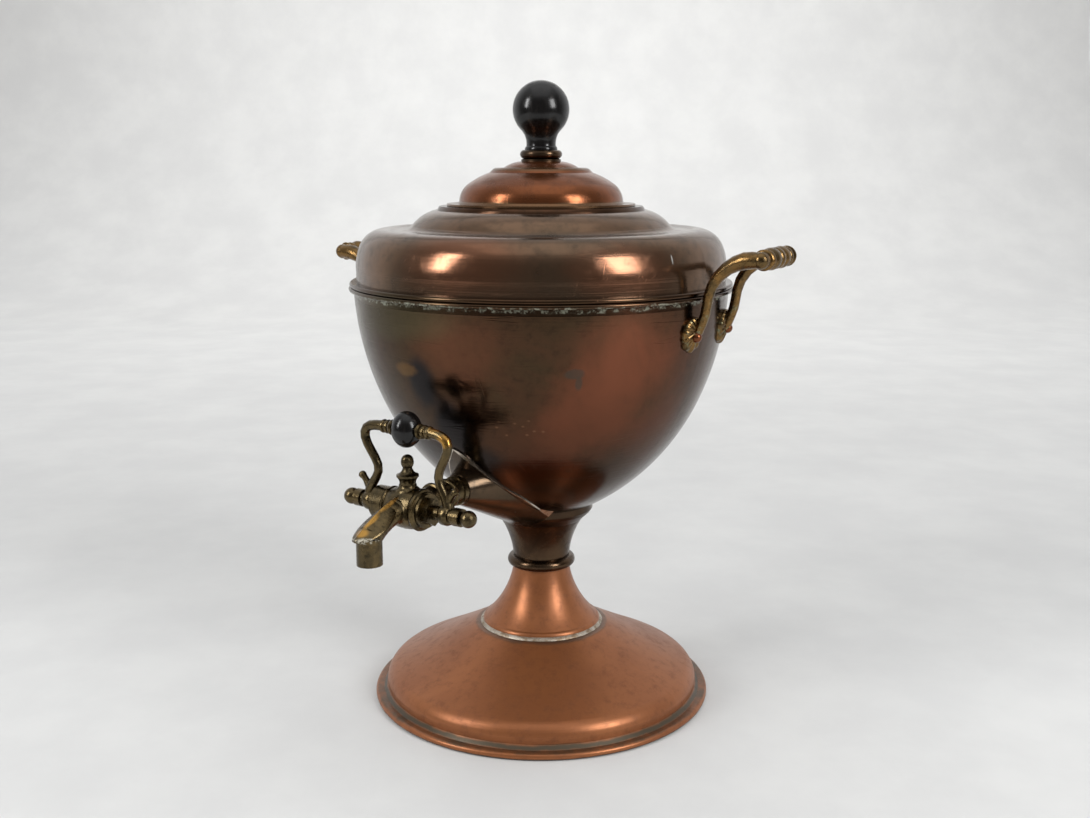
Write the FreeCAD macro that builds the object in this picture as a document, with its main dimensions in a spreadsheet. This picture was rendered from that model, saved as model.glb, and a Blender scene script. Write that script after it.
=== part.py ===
import FreeCAD, Part
import Sketcher
import math
import os
from types import SimpleNamespace

# A copper tea urn: spun copper foot, stem, bowl, shoulder and lid, two cast brass handles, and a
# brass lever tap low on the bowl. Millimetres. The origin is the middle of the foot where it
# stands, +Z is up, the tap points along -Y and the handles stand at +X and -X.

DRIVING_SIZES = [
    # foot and stem, from the table upwards
    ("foot_radius", 112.0, "outside of the wired edge of the foot"),
    ("foot_edge", 4.4, "height of the wired edge"),
    ("foot_height", 47.0, "table to the top of the foot dome"),
    ("cone_height", 39.5, "lower cone of the stem"),
    ("cone_base_radius", 39.2, "foot of the lower cone"),
    ("stem_radius", 18.6, "stem at its narrowest"),
    ("bead_height", 7.0, "turned bead between cone and collar"),
    ("bead_radius", 22.4, "outside of the turned bead"),
    ("collar_height", 33.0, "cast collar under the bowl"),
    ("collar_radius", 34.0, "lip of the cast collar"),
    ("sheet", 1.2, "thickness of the spun copper"),
    # bowl, shoulder and mouth
    ("bowl_radius", 118.6, "outside of the bowl at its edge"),
    ("bowl_height", 144.5, "lip of the collar to the edge of the bowl"),
    ("rim_reach", 3.4, "how far the rim bead stands out from the bowl"),
    ("rim_height", 5.6, "the two beads of the rim together"),
    ("lap", 8.0, "length of the shoulder pushed inside the bowl"),
    ("lap_gap", 0.4, "shoulder inside the bowl, filled with solder"),
    ("shoulder_height", 49.5, "edge of the bowl to the top of the shoulder"),
    ("neck_radius", 65.6, "outside of the neck ring"),
    ("neck_height", 2.5, "neck ring above the shoulder"),
    ("mouth_radius", 48.5, "bore of the neck ring"),
    # lid and knob
    ("lid_radius", 59.5, "outside of the lid flange"),
    ("lid_rise", 26.0, "height of the lid dome"),
    ("lid_seat_gap", 0.3, "lid flange above the neck ring"),
    ("skirt_gap", 0.6, "lid skirt inside the mouth, each side"),
    ("skirt_depth", 12.0, "lid skirt below the flange"),
    ("ferrule_radius", 13.2, "bronze ferrule under the knob"),
    ("ferrule_height", 7.0, "height of the ferrule"),
    ("knob_radius", 17.7, "ball of the wooden knob"),
    ("knob_stem", 7.0, "neck of the knob below its ball"),
    ("stud_radius", 2.5, "threaded stud through lid and knob"),
    # handles
    ("handle_skew", 4.4, "right handle set round from the +X axis, degrees"),
    ("left_handle_turn", 178.0, "left handle round from the +X axis, degrees"),
    ("left_handle_drop", 7.0, "left handle riveted on lower than the right one"),
    ("handle_spread", 24.0, "each arm from the middle of its handle"),
    ("handle_stand", 5.0, "straight part of the arms outside the bowl"),
    ("handle_reach", 37.0, "grip axis outside the bowl"),
    ("handle_rise", 28.0, "arm bend radius, foot to grip"),
    ("grip_lift", 25.0, "grip axis above the edge of the bowl"),
    ("foot_drop", 16.0, "middle of the shell feet below the edge of the bowl"),
    ("arm_radius", 3.0, "handle arm"),
    ("grip_radius", 5.4, "plain part of the grip"),
    ("grip_ring_radius", 6.6, "rings turned on the grip"),
    ("handle_foot_height", 27.0, "shell foot of the handle, top to tip"),
    ("handle_foot_width", 20.0, "shell foot of the handle, across"),
    ("handle_foot_depth", 6.5, "shell foot of the handle, from its crest to its middle"),
    ("rivet_radius", 1.9, "shank of the handle rivets"),
    # tap
    ("tap_lift", 30.5, "plug axis above the lip of the collar"),
    ("tap_stand", 45.7, "plug axis in front of the end of the fairing"),
    ("barrel_radius", 11.5, "tap barrel"),
    ("barrel_width", 26.0, "tap barrel along the plug"),
    ("plug_radius", 6.0, "tapered plug at its middle"),
    ("plug_taper", 0.5, "half the difference of the plug's end radii"),
    ("plug_fit", 0.05, "plug in its bore, each side"),
    ("port_radius", 3.2, "water way"),
    ("pipe_radius", 6.2, "inlet pipe of the tap"),
    ("tail_radius", 5.0, "threaded tail through the bowl"),
    ("wall_flange_radius", 9.0, "flange at the end of the fairing"),
    ("fairing_stand", 13.3, "end of the fairing in front of the bowl"),
    ("patch_half_width", 25.9, "half width of the patch under the fairing"),
    ("patch_tip", 26.0, "point of the patch above the plug axis"),
    ("seat_depth", 36.0, "end of the fairing back to the seat inside the bowl"),
    ("spindle_radius", 4.1, "plug spindle through the lever"),
    ("spindle_half", 39.0, "half length of the plug spindle"),
    ("end_ball_radius", 4.9, "balls on the ends of the spindle"),
    ("lever_foot", 28.0, "lever arm hub from the middle of the tap"),
    ("lever_height", 45.4, "lever ball above the plug axis"),
    ("lever_radius", 2.6, "lever arm"),
    ("lever_ball_radius", 8.8, "lever ball, half width"),
    ("tie_radius", 1.6, "rod through the lever ball"),
    ("outlet_reach", 33.3, "outlet axis in front of the plug axis"),
    ("outlet_radius", 7.3, "outlet tube"),
    ("outlet_drop", 25.0, "mouth of the outlet below the plug axis"),
    ("hood_reach", 12.5, "spout hood in front of the outlet axis"),
]

doc = FreeCAD.newDocument("tea_urn")
sheet = doc.addObject("Spreadsheet::Sheet", "Sizes")


class Size:
    """A length that carries the sheet formula it is worked out with."""

    def __init__(self, value, formula):
        self.value = value
        self.formula = formula

    def joined(self, sign, other, value):
        formula = other.formula if isinstance(other, Size) else repr(float(other))
        return Size(value, "(%s %s %s)" % (self.formula, sign, formula))

    def __add__(self, other):
        return self.joined("+", other, self.value + number(other))

    def __sub__(self, other):
        return self.joined("-", other, self.value - number(other))

    def __mul__(self, other):
        return self.joined("*", other, self.value * number(other))

    def __truediv__(self, other):
        return self.joined("/", other, self.value / number(other))

    def __neg__(self):
        return self * -1


def number(length):
    return length.value if isinstance(length, Size) else float(length)


def fill_sheet():
    size = SimpleNamespace()
    for row, (alias, value, meaning) in enumerate(DRIVING_SIZES, start=1):
        sheet.set("A%d" % row, meaning)
        sheet.set("B%d" % row, str(value))
        sheet.setAlias("B%d" % row, alias)
        setattr(size, alias, Size(value, "Sizes." + alias))
    doc.recompute()
    return size


size = fill_sheet()


# ---- levels and radii that several pieces share ----

cone_base = size.foot_height
bead_base = cone_base + size.cone_height
collar_base = bead_base + size.bead_height
collar_lip = collar_base + size.collar_height
bowl_edge = collar_lip + size.bowl_height
shoulder_top = bowl_edge + size.shoulder_height
neck_top = shoulder_top + size.neck_height
shoulder_radius = size.bowl_radius - size.sheet - size.lap_gap
rim_seat = size.foot_radius - size.foot_edge * 1.23
lid_base = neck_top + size.lid_seat_gap
lid_top = lid_base + size.sheet + size.lid_rise
knob_base = lid_top + size.ferrule_height
knob_centre = knob_base + size.knob_stem + size.knob_radius
handle_grip_level = bowl_edge + size.grip_lift
foot_level = bowl_edge - size.foot_drop
rivet_level = foot_level - 4.6
washer_face = size.bowl_radius * 0.9655             # just inside the slope of the bowl
rivet_start = washer_face - 2.3
rivet_end = size.bowl_radius + 3.0
grip_axis = size.bowl_radius + size.handle_reach
bowl_flare = size.bowl_radius * 0.63               # bowl where it leaves the collar
fairing_face = bowl_flare + size.fairing_stand
tap_seat_face = fairing_face - size.seat_depth
tap_level = collar_lip + size.tap_lift
tap_reach = fairing_face + size.tap_stand
outlet_axis = tap_reach + size.outlet_reach
outlet_mouth = tap_level - size.outlet_drop
barrel_half = size.barrel_width / 2
running_gap = size.plug_fit * 6
head_end = barrel_half + 9.0
nut_end = barrel_half + 6.6


# ---- helpers ----

def bind(thing, **properties):
    """Tie each property to its sheet formula, or set it where it is a plain number."""
    for name, value in properties.items():
        if isinstance(value, Size):
            thing.setExpression(name, value.formula)
        else:
            setattr(thing, name, value)
    return thing


def place(thing, x=0.0, y=0.0, z=0.0, axis=(0, 0, 1), angle=0.0):
    """Put a thing at x, y, z, turned about an axis; the coordinates stay tied to the sheet."""
    spot = FreeCAD.Vector(number(x), number(y), number(z))
    thing.Placement = FreeCAD.Placement(spot, FreeCAD.Rotation(FreeCAD.Vector(*axis), number(angle)))
    for letter, value in (("x", x), ("y", y), ("z", z)):
        if isinstance(value, Size):
            thing.setExpression("Placement.Base." + letter, value.formula)
    return thing


def new_body(name):
    body = doc.addObject("PartDesign::Body", name)
    body.Label = name
    return body


def sketch_on(body, name, role):
    plane = next(plane for plane in body.Origin.OriginFeatures if plane.Role == role)
    sketch = body.newObject("Sketcher::SketchObject", name)
    sketch.AttachmentSupport = [(plane, "")]
    sketch.MapMode = "FlatFace"
    sketch.Visibility = False
    return sketch


def hold_point(sketch, name, edge, end, across, up):
    """Hold one point of the sketch at (across, up), each tied to the sheet."""
    for letter, kind, axis, value in (("across", "DistanceX", -2, across), ("up", "DistanceY", -1, up)):
        if abs(number(value)) < 1e-9:
            sketch.addConstraint(Sketcher.Constraint("PointOnObject", edge, end, axis))
            continue
        index = sketch.addConstraint(Sketcher.Constraint(kind, -1, 1, edge, end, number(value)))
        sketch.renameConstraint(index, "%s_%s" % (name, letter))
        if isinstance(value, Size):
            sketch.setExpression("Constraints.%s_%s" % (name, letter), value.formula)


def flat_vector(across, up):
    return FreeCAD.Vector(number(across), number(up), 0)


def edge_to(before, step):
    """The straight line (x, y) or the arc (x, y on the way, x, y at its end) after a corner."""
    if len(step) == 2:
        return Part.LineSegment(flat_vector(*before[-2:]), flat_vector(*step))
    return Part.Arc(flat_vector(*before[-2:]), flat_vector(*step[:2]), flat_vector(*step[2:]))


def draw_chain(sketch, steps, closed=True):
    """Draw a chain of lines and arcs whose corners and arc middles are tied to the sheet."""
    chain = list(zip(steps, steps[1:] + steps[:1])) if closed else list(zip(steps, steps[1:]))
    joined = None
    for index, (before, step) in enumerate(chain):
        edge = sketch.addGeometry(edge_to(before, step))
        forwards = sketch.getPoint(edge, 1).distanceToPoint(flat_vector(*before[-2:])) < 1e-6
        first, last = (1, 2) if forwards else (2, 1)
        if joined:
            sketch.addConstraint(Sketcher.Constraint("Coincident", *joined, edge, first))
        else:
            opening = (edge, first)
        hold_point(sketch, "corner%d" % index, edge, first, *before[-2:])
        if len(step) == 4:
            mark = sketch.addGeometry(Part.Point(flat_vector(*step[:2])), True)
            hold_point(sketch, "arc%d" % index, mark, 1, *step[:2])
            sketch.addConstraint(Sketcher.Constraint("PointOnObject", mark, 1, edge))
        joined = (edge, last)
    if closed:
        sketch.addConstraint(Sketcher.Constraint("Coincident", *joined, *opening))
    else:
        hold_point(sketch, "finish", *joined, *steps[-1][-2:])


def turned(name, steps, **spot):
    """A piece turned or spun about its own upright axis from a closed outline."""
    body = new_body(name)
    sketch = sketch_on(body, name + "_outline", "XZ_Plane")
    draw_chain(sketch, steps)
    turn = body.newObject("PartDesign::Revolution", name + "_turned")
    turn.Profile = sketch
    turn.ReferenceAxis = (sketch, ["V_Axis"])
    turn.Angle = 360.0
    return place(body, **spot) if spot else body


def left_normal(before, after):
    """Left of the path where two unit headings meet, lengthened to reach the mitre."""
    middle = (before + after).normalize()
    reach = 1 / max(middle.dot(before), 0.3)
    return (-middle.y * reach, middle.x * reach)


def inner_side(steps, wall):
    """The same outline, one wall to the left of the walk."""
    edges = [edge_to(before, step) for before, step in zip(steps, steps[1:])]
    starts = [edge.tangent(edge.FirstParameter)[0] for edge in edges]
    ends = [edge.tangent(edge.LastParameter)[0] for edge in edges]
    normals = [left_normal(before, after) for before, after in zip(starts[:1] + ends, starts + ends[-1:])]
    inner = [moved(steps[0], normals[0], wall)]
    for step, edge, normal in zip(steps[1:], edges, normals[1:]):
        through = ()
        if len(step) == 4:
            heading = edge.tangent(edge.parameter(flat_vector(*step[:2])))[0]
            through = moved(step[:2], left_normal(heading, heading), wall)
        inner.append(through + moved(step[-2:], normal, wall))
    return inner


def skin(steps, wall):
    """Close the outline of a sheet, walked upwards with the metal on its left, one wall inside."""
    inner = inner_side(steps, wall)
    closing = [inner[-1][-2:]]
    for before, step in zip(inner[-2::-1], inner[:0:-1]):
        closing.append(step[:-2] + before[-2:])
    return list(steps) + closing


def moved(corner, normal, wall):
    """A corner moved along its normal; one on the axis stays on it."""
    on_axis = abs(number(corner[0])) < 1e-9
    across = corner[0] if on_axis else corner[0] + wall * normal[0]
    return (across, corner[1] + wall * normal[1])


def bar(name, radius, length, **spot):
    """A round bar along its own Z axis."""
    return place(bind(doc.addObject("Part::Cylinder", name), Radius=radius, Height=length), **spot)


def taper(name, start_radius, end_radius, length, **spot):
    cone = doc.addObject("Part::Cone", name)
    return place(bind(cone, Radius1=start_radius, Radius2=end_radius, Height=length), **spot)


def ball(name, radius, **spot):
    return place(bind(doc.addObject("Part::Sphere", name), Radius=radius), **spot)


def egg(name, across, along, tall, **spot):
    """An ellipsoid with half sizes along X, Y and Z."""
    thing = bind(doc.addObject("Part::Ellipsoid", name), Radius1=tall, Radius2=across, Radius3=along)
    return place(bind(thing, Angle1=-90.0, Angle2=90.0, Angle3=360.0), **spot)


def hexagon(name, across_corners, length, **spot):
    prism = doc.addObject("Part::Prism", name)
    return place(bind(prism, Polygon=6, Circumradius=across_corners, Height=length), **spot)


def fused(name, pieces):
    thing = doc.addObject("Part::MultiFuse", name)
    thing.Shapes = pieces
    return thing


def cut(name, base, *tools):
    thing = doc.addObject("Part::Cut", name)
    thing.Base = base
    thing.Tool = tools[0] if len(tools) == 1 else fused(name + "_tools", list(tools))
    return thing


def common(name, first, second):
    thing = doc.addObject("Part::Common", name)
    thing.Base = first
    thing.Tool = second
    return thing


TO_BACK = {"axis": (1, 0, 0), "angle": -90.0}     # a bar runs along +Y
TO_RIGHT = {"axis": (0, 1, 0), "angle": 90.0}     # a bar runs along +X
FORWARD = {"axis": (1, 0, 0), "angle": 90.0}      # a bar runs along -Y
FORWARD_DOWN = {"axis": (1, 0, 0), "angle": 117.0}
ZERO = size.sheet * 0
BOWL_SLOPE = 0.25                                  # bowl side at the rivets, inwards for each unit down
centre_mark = size.stud_radius * 0.2               # flat left by the lathe centre


# ---- foot and stem ----

def make_foot_rim():
    """The wired edge: sheet rolled round an iron ring and hammered flat where it stands."""
    middle = size.foot_edge / 2
    flat = size.foot_radius - middle
    return turned("foot_rim", [
        (rim_seat, ZERO), (flat, ZERO),
        (size.foot_radius, middle, flat, size.foot_edge),
        (rim_seat, size.foot_edge)])


def make_foot_dome():
    """The spun dome, from its seat on the wired edge up to the flat ring under the stem."""
    base = size.foot_edge
    rise = size.foot_height - base
    swage = size.foot_radius - 7.9
    spread = swage - size.cone_base_radius
    return turned("foot_dome", skin([
        (rim_seat, base),
        (swage, base + rise * 0.06),
        (swage, base + rise * 0.155),
        (swage - spread * 0.031, base + rise * 0.268, swage - spread * 0.093, base + rise * 0.345),
        (swage - spread * 0.512, base + rise * 0.655, swage - spread * 0.93, base + rise * 0.985),
        (size.cone_base_radius + 0.8, size.foot_height),
        (size.cone_base_radius - 6.0, size.foot_height)], size.sheet))


def make_solder_ring():
    """The fillet of solder round the foot of the cone."""
    inner = size.cone_base_radius
    return turned("solder_ring", [
        (inner, cone_base), (inner + 1.9, cone_base),
        (inner + 1.1, cone_base + 1.1, inner, cone_base + 1.9)])


def make_stem_cone():
    """The spun lower cone: a small rounded base, then a long hollow flare."""
    wide = size.cone_base_radius
    drop = wide - size.stem_radius
    tall = size.cone_height
    return turned("stem_cone", skin([
        (wide, cone_base), (wide, cone_base + 1.9),
        (wide - 0.5, cone_base + 3.2, wide - 2.1, cone_base + 4.4),
        (wide - drop * 0.694, cone_base + tall * 0.516, size.stem_radius, cone_base + tall)], size.sheet))


def make_stem_bead():
    """The turned bronze bead over the joint of cone and collar."""
    inner = size.stem_radius - size.sheet * 2
    shoulder = size.stem_radius + 0.7
    return turned("stem_bead", [
        (inner, bead_base), (shoulder, bead_base),
        (size.bead_radius, bead_base + size.bead_height / 2, shoulder, collar_base),
        (inner, collar_base)])


def bowl_outline():
    """Outside of the bowl, walked from its bottom to its edge."""
    wide = size.bowl_radius
    seat = collar_lip + 3.9
    tall = bowl_edge - seat
    return [
        (ZERO, seat - 6.6), (size.collar_radius * 0.1, seat - 6.6),
        (size.collar_radius * 0.57, seat - 4.7, size.collar_radius + 1.0, seat + 0.5),
        (bowl_flare, seat + tall * 0.218, wide * 0.864, seat + tall * 0.5155),
        (wide * 0.955, seat + tall * 0.737, wide, bowl_edge - size.lap / 2),
        (wide, bowl_edge)]


def make_bowl_form():
    """The bowl as a solid, which shapes what fits against its outside."""
    return turned("bowl_form", bowl_outline() + [(ZERO, bowl_edge)])


def make_collar(bowl_form):
    """The cast bronze collar whose cup the bowl sits in."""
    low = size.stem_radius
    spread = size.collar_radius - low
    tall = size.collar_height
    outside = [
        (low, collar_base),
        (low + spread * 0.2, collar_base + tall * 0.436, low + spread * 0.56, collar_base + tall * 0.78),
        (low + spread * 0.9, collar_base + tall * 0.93),
        (size.collar_radius, collar_lip),
        (size.collar_radius, collar_lip + 4.5)]
    form = turned("collar_form", [(ZERO, collar_base)] + outside + [(ZERO, collar_lip + 4.5)])
    core = turned("collar_core", [
        (ZERO, collar_base), (low - 2.4, collar_base),
        (low - 0.8, collar_base + tall * 0.45),
        (low + spread * 0.38, collar_base + tall * 0.9),
        (ZERO, collar_base + tall * 0.9)])
    return cut("stem_collar", form, core, bowl_form), form


# ---- bowl, rim, shoulder and neck ----

def handle_sides():
    """Name, turn from the +X axis, and drop below the right handle, for each handle."""
    return (("right", size.handle_skew.value, ZERO),
            ("left", size.left_handle_turn.value, size.left_handle_drop))


def rivet_angles(turn):
    """The two feet of a handle sit a handle_spread each side of its middle."""
    swing = FreeCAD.Vector(size.bowl_radius.value, size.handle_spread.value, 0)
    offset = math.degrees(swing.getAngle(FreeCAD.Vector(1, 0, 0)))
    return (turn - offset, turn + offset)


def make_bowl(bowl_form):
    """The spun copper bowl, pierced for the tap and the handle rivets."""
    raw = turned("bowl_spun", skin(bowl_outline(), size.sheet))
    holes = [bar("tap_hole", size.tail_radius, 60.0, y=-fairing_face, z=tap_level, **TO_BACK)]
    for side, turn, drop in handle_sides():
        for count, angle in enumerate(rivet_angles(turn)):
            shank = bar("rivet_hole_%s_%d" % (side, count), size.rivet_radius, size.bowl_radius * 1.2)
            holes.append(point_out(shank, angle, ZERO, rivet_level - drop))
    return cut("bowl", raw, *holes)


def point_out(bar_piece, angle, start, level):
    """Lay a bar outwards from the axis of the urn, at an angle round it, from a start radius."""
    turn = FreeCAD.Rotation(FreeCAD.Vector(0, 0, 1), angle)
    lay = turn.multiply(FreeCAD.Rotation(FreeCAD.Vector(0, 1, 0), 90))
    spot = turn.multVec(FreeCAD.Vector(number(start), 0, number(level)))
    bar_piece.Placement = FreeCAD.Placement(spot, lay)
    return bar_piece


def make_rim_bead():
    """Two half-round beads, one above the other, soldered over the joint of bowl and shoulder."""
    inner = shoulder_radius
    middle = bowl_edge + size.rim_height / 2
    outer = size.bowl_radius + size.rim_reach
    root = outer - 1.5
    top = bowl_edge + size.rim_height
    return turned("rim_bead", [
        (inner, bowl_edge), (root, bowl_edge),
        (outer, bowl_edge + size.rim_height / 4, root, middle),
        (outer - 0.6, middle + size.rim_height / 4, root, top),
        (inner, top)])


def make_shoulder():
    """The spun shoulder: a skirt lapped inside the bowl, a round crest, and a small second dome."""
    wide = shoulder_radius
    low = bowl_edge
    tall = size.shoulder_height
    crest = wide - size.neck_radius
    return turned("shoulder", skin([
        (wide, low - size.lap), (wide, low + tall * 0.25),
        (wide, low + tall * 0.37, wide - crest * 0.042, low + tall * 0.545),
        (wide - crest * 0.19, low + tall * 0.728, wide - crest * 0.43, low + tall * 0.757),
        (wide - crest * 0.55, low + tall * 0.762),
        (wide - crest * 0.63, low + tall * 0.772, wide - crest * 0.685, low + tall * 0.806),
        (wide - crest * 0.81, low + tall * 0.927, size.neck_radius + 1.5, shoulder_top),
        (size.mouth_radius + size.sheet, shoulder_top)], size.sheet))


def make_neck_ring():
    """The brass ring that stiffens the mouth and carries the lid."""
    outer = size.neck_radius
    bore = size.mouth_radius
    return turned("neck_ring", [
        (bore, shoulder_top - size.lap), (bore + size.sheet, shoulder_top - size.lap),
        (bore + size.sheet, shoulder_top), (outer, shoulder_top),
        (outer - 0.7, shoulder_top + size.neck_height * 0.6, outer - 1.4, neck_top),
        (bore, neck_top)])


# ---- lid and knob ----

def make_lid_dome():
    """The spun lid: a flat flange, a low dome, a small cove and a cap under the knob."""
    wide = size.lid_radius - 7.8
    rise = size.lid_rise
    low = lid_base + size.sheet
    return turned("lid_dome", skin([
        (size.lid_radius, low), (wide + 1.2, low),
        (wide, low + rise * 0.05),
        (wide - 2.0, low + rise * 0.31, wide * 0.872, low + rise * 0.49),
        (wide * 0.754, low + rise * 0.63, wide * 0.629, low + rise * 0.735),
        (wide * 0.588, low + rise * 0.815), (wide * 0.559, low + rise * 0.845),
        (wide * 0.455, low + rise * 0.853),
        (wide * 0.348, low + rise * 0.957, wide * 0.232, lid_top),
        (size.stud_radius, lid_top)], size.sheet))


def make_lid_skirt():
    """The ring soldered inside the lid that drops into the mouth."""
    outer = size.mouth_radius - size.skirt_gap
    inner = outer - size.sheet
    under = lid_base + 0.1
    flange = size.lid_radius - 7.8 - size.sheet * 1.3
    return turned("lid_skirt", [
        (inner, lid_base - size.skirt_depth), (outer, lid_base - size.skirt_depth),
        (outer, under), (flange, under), (flange, under + size.sheet), (inner, under + size.sheet)])


def make_knob_ferrule():
    """The bronze ferrule: a flat disc with a round moulding on it."""
    outer = size.ferrule_radius
    low = lid_top
    return turned("knob_ferrule", [
        (size.stud_radius, low), (outer - 0.7, low), (outer - 0.7, low + 1.2),
        (outer - 2.2, low + 1.7),
        (outer, low + size.ferrule_height * 0.6, outer - 2.6, knob_base),
        (size.stud_radius, knob_base)])


def make_lid_knob():
    """The ebonised wooden knob, bored from below for the stud."""
    ball_side = size.knob_radius * 0.7071
    bore_top = knob_centre - size.knob_radius * 0.4
    return turned("lid_knob", [
        (size.stud_radius, knob_base), (size.ferrule_radius - 3.0, knob_base),
        (size.ferrule_radius - 3.1, knob_base + 1.2, size.ferrule_radius - 3.9, knob_base + 2.4),
        (size.ferrule_radius - 3.6, knob_base + size.knob_stem, ball_side, knob_centre - ball_side),
        (size.knob_radius * 0.9239, knob_centre - size.knob_radius * 0.3827, size.knob_radius, knob_centre),
        (ball_side, knob_centre + ball_side, centre_mark, knob_centre + size.knob_radius),
        (ZERO, knob_centre + size.knob_radius), (ZERO, bore_top), (size.stud_radius, bore_top)])


def make_knob_fixing():
    """A threaded stud up through lid, ferrule and knob, with its washer and nut inside the lid."""
    inside = lid_top - size.sheet
    washer_thickness = 1.2
    nut_height = 4.0
    stud_foot = inside - washer_thickness - nut_height - 2.0
    stud_end = knob_centre - size.knob_radius * 0.45
    nut_base = inside - washer_thickness - nut_height
    bar_stud = bar("knob_stud", size.stud_radius, stud_end - stud_foot, z=stud_foot)
    disc = bar("knob_washer_disc", size.stud_radius * 3.2, washer_thickness, z=inside - washer_thickness)
    washer = cut("knob_washer", disc, bar_stud)
    nut = cut("knob_nut", hexagon("knob_nut_hex", size.stud_radius * 1.9, nut_height, z=nut_base), bar_stud)
    return bar_stud, washer, nut


# ---- handles ----

def make_arm(name, side):
    """One arm of a handle, up from its foot and over to the end of the grip; side is +1 or -1."""
    body = new_body(name)
    stand = size.bowl_radius + size.handle_stand
    bend = size.handle_rise
    low = handle_grip_level - bend
    root = stand - 6.1
    path = sketch_on(body, name + "_path", "XZ_Plane")
    draw_chain(path, [
        (root, low - 12.0), (stand, low),
        (stand + bend * 0.2929, low + bend * 0.7071, stand + bend, handle_grip_level),
        (grip_axis, handle_grip_level)], closed=False)
    section = sketch_on(body, name + "_section", "XY_Plane")
    section.setExpression("AttachmentOffset.Base.z", (low - 12.0).formula)
    circle = section.addGeometry(Part.Circle(flat_vector(root, ZERO), FreeCAD.Vector(0, 0, 1),
                                             size.arm_radius.value))
    hold_point(section, "centre", circle, 3, root, ZERO)
    hold_radius(section, circle, size.arm_radius)
    doc.recompute()
    pipe = body.newObject("PartDesign::AdditivePipe", name + "_pipe")
    pipe.Profile = section
    pipe.Spine = (path, ["Edge1", "Edge2", "Edge3"])
    return place(body, y=size.handle_spread * side)


def make_grip(name):
    """The turned grip with a ring at each end and three between, lying across the arms."""
    end = size.handle_spread + size.arm_radius
    ring = size.handle_spread * 0.36
    bead = size.grip_ring_radius - size.grip_radius
    half = 1.9
    steps = [(ZERO, -end), (size.arm_radius * 1.2, -end), (size.grip_radius, -size.handle_spread * 0.86)]
    for count in (-2, -1, 0, 1, 2):
        middle = ring * count
        steps.append((size.grip_radius, middle - half))
        steps.append((size.grip_radius + bead, middle, size.grip_radius, middle + half))
    steps += [(size.grip_radius, size.handle_spread * 0.86), (size.arm_radius * 1.2, end), (ZERO, end)]
    return turned(name, steps, x=grip_axis, z=handle_grip_level, axis=(1, 0, 0), angle=90.0)


def make_handle(side, turn, drop, bowl_form, rivets):
    """A cast brass handle: two shell feet on the bowl, two arms and a ringed grip."""
    name = "handle_" + side
    feet = []
    for count, angle in enumerate(rivet_angles(turn)):
        foot = egg("%s_foot_%d" % (name, count), size.handle_foot_depth, size.handle_foot_width / 2,
                   size.handle_foot_height / 2)
        spin = FreeCAD.Rotation(FreeCAD.Vector(0, 0, 1), angle)
        crest = size.bowl_radius - 2.5 - drop * BOWL_SLOPE
        spot = spin.multVec(FreeCAD.Vector(number(crest), 0, number(foot_level - drop)))
        seam_inwards = FreeCAD.Rotation(FreeCAD.Vector(0, 0, 1), angle + 180)
        foot.Placement = FreeCAD.Placement(spot, seam_inwards)
        feet.append(foot)
    frame = fused(name + "_frame", [
        make_arm(name + "_arm_front", -1), make_arm(name + "_arm_back", 1), make_grip(name + "_grip")])
    place(frame, z=-drop, angle=turn)
    return cut(name, fused(name + "_cast", [frame] + feet), bowl_form, rivets)


def make_rivets(side, turn, drop):
    """The two copper rivets of a handle, each with a round head outside."""
    pieces = []
    inward = drop * BOWL_SLOPE
    for count, angle in enumerate(rivet_angles(turn)):
        shank = bar("rivet_shank_%s_%d" % (side, count), size.rivet_radius, rivet_end - rivet_start)
        pieces.append(point_out(shank, angle, rivet_start - inward, rivet_level - drop))
        head = ball("rivet_head_%s_%d" % (side, count), size.rivet_radius * 1.7)
        pieces.append(point_out(head, angle, rivet_end - 1.0 - inward, rivet_level - drop))
    return fused("handle_rivets_" + side, pieces)


def make_rivet_washers(side, turn, drop):
    """A copper washer under the inner end of each rivet."""
    thickness = 1.0
    start = washer_face - thickness - drop * BOWL_SLOPE
    rings = []
    for count, angle in enumerate(rivet_angles(turn)):
        tag = "_%s_%d" % (side, count)
        disc = bar("rivet_washer" + tag, size.rivet_radius * 2.2, thickness)
        hole = bar("rivet_washer_hole" + tag, size.rivet_radius, thickness)
        for piece in (disc, hole):
            point_out(piece, angle, start, rivet_level - drop)
        rings.append(cut("rivet_washer_ring" + tag, disc, hole))
    return fused("rivet_washers_" + side, rings)


# ---- tap: fixed pieces ----

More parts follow.
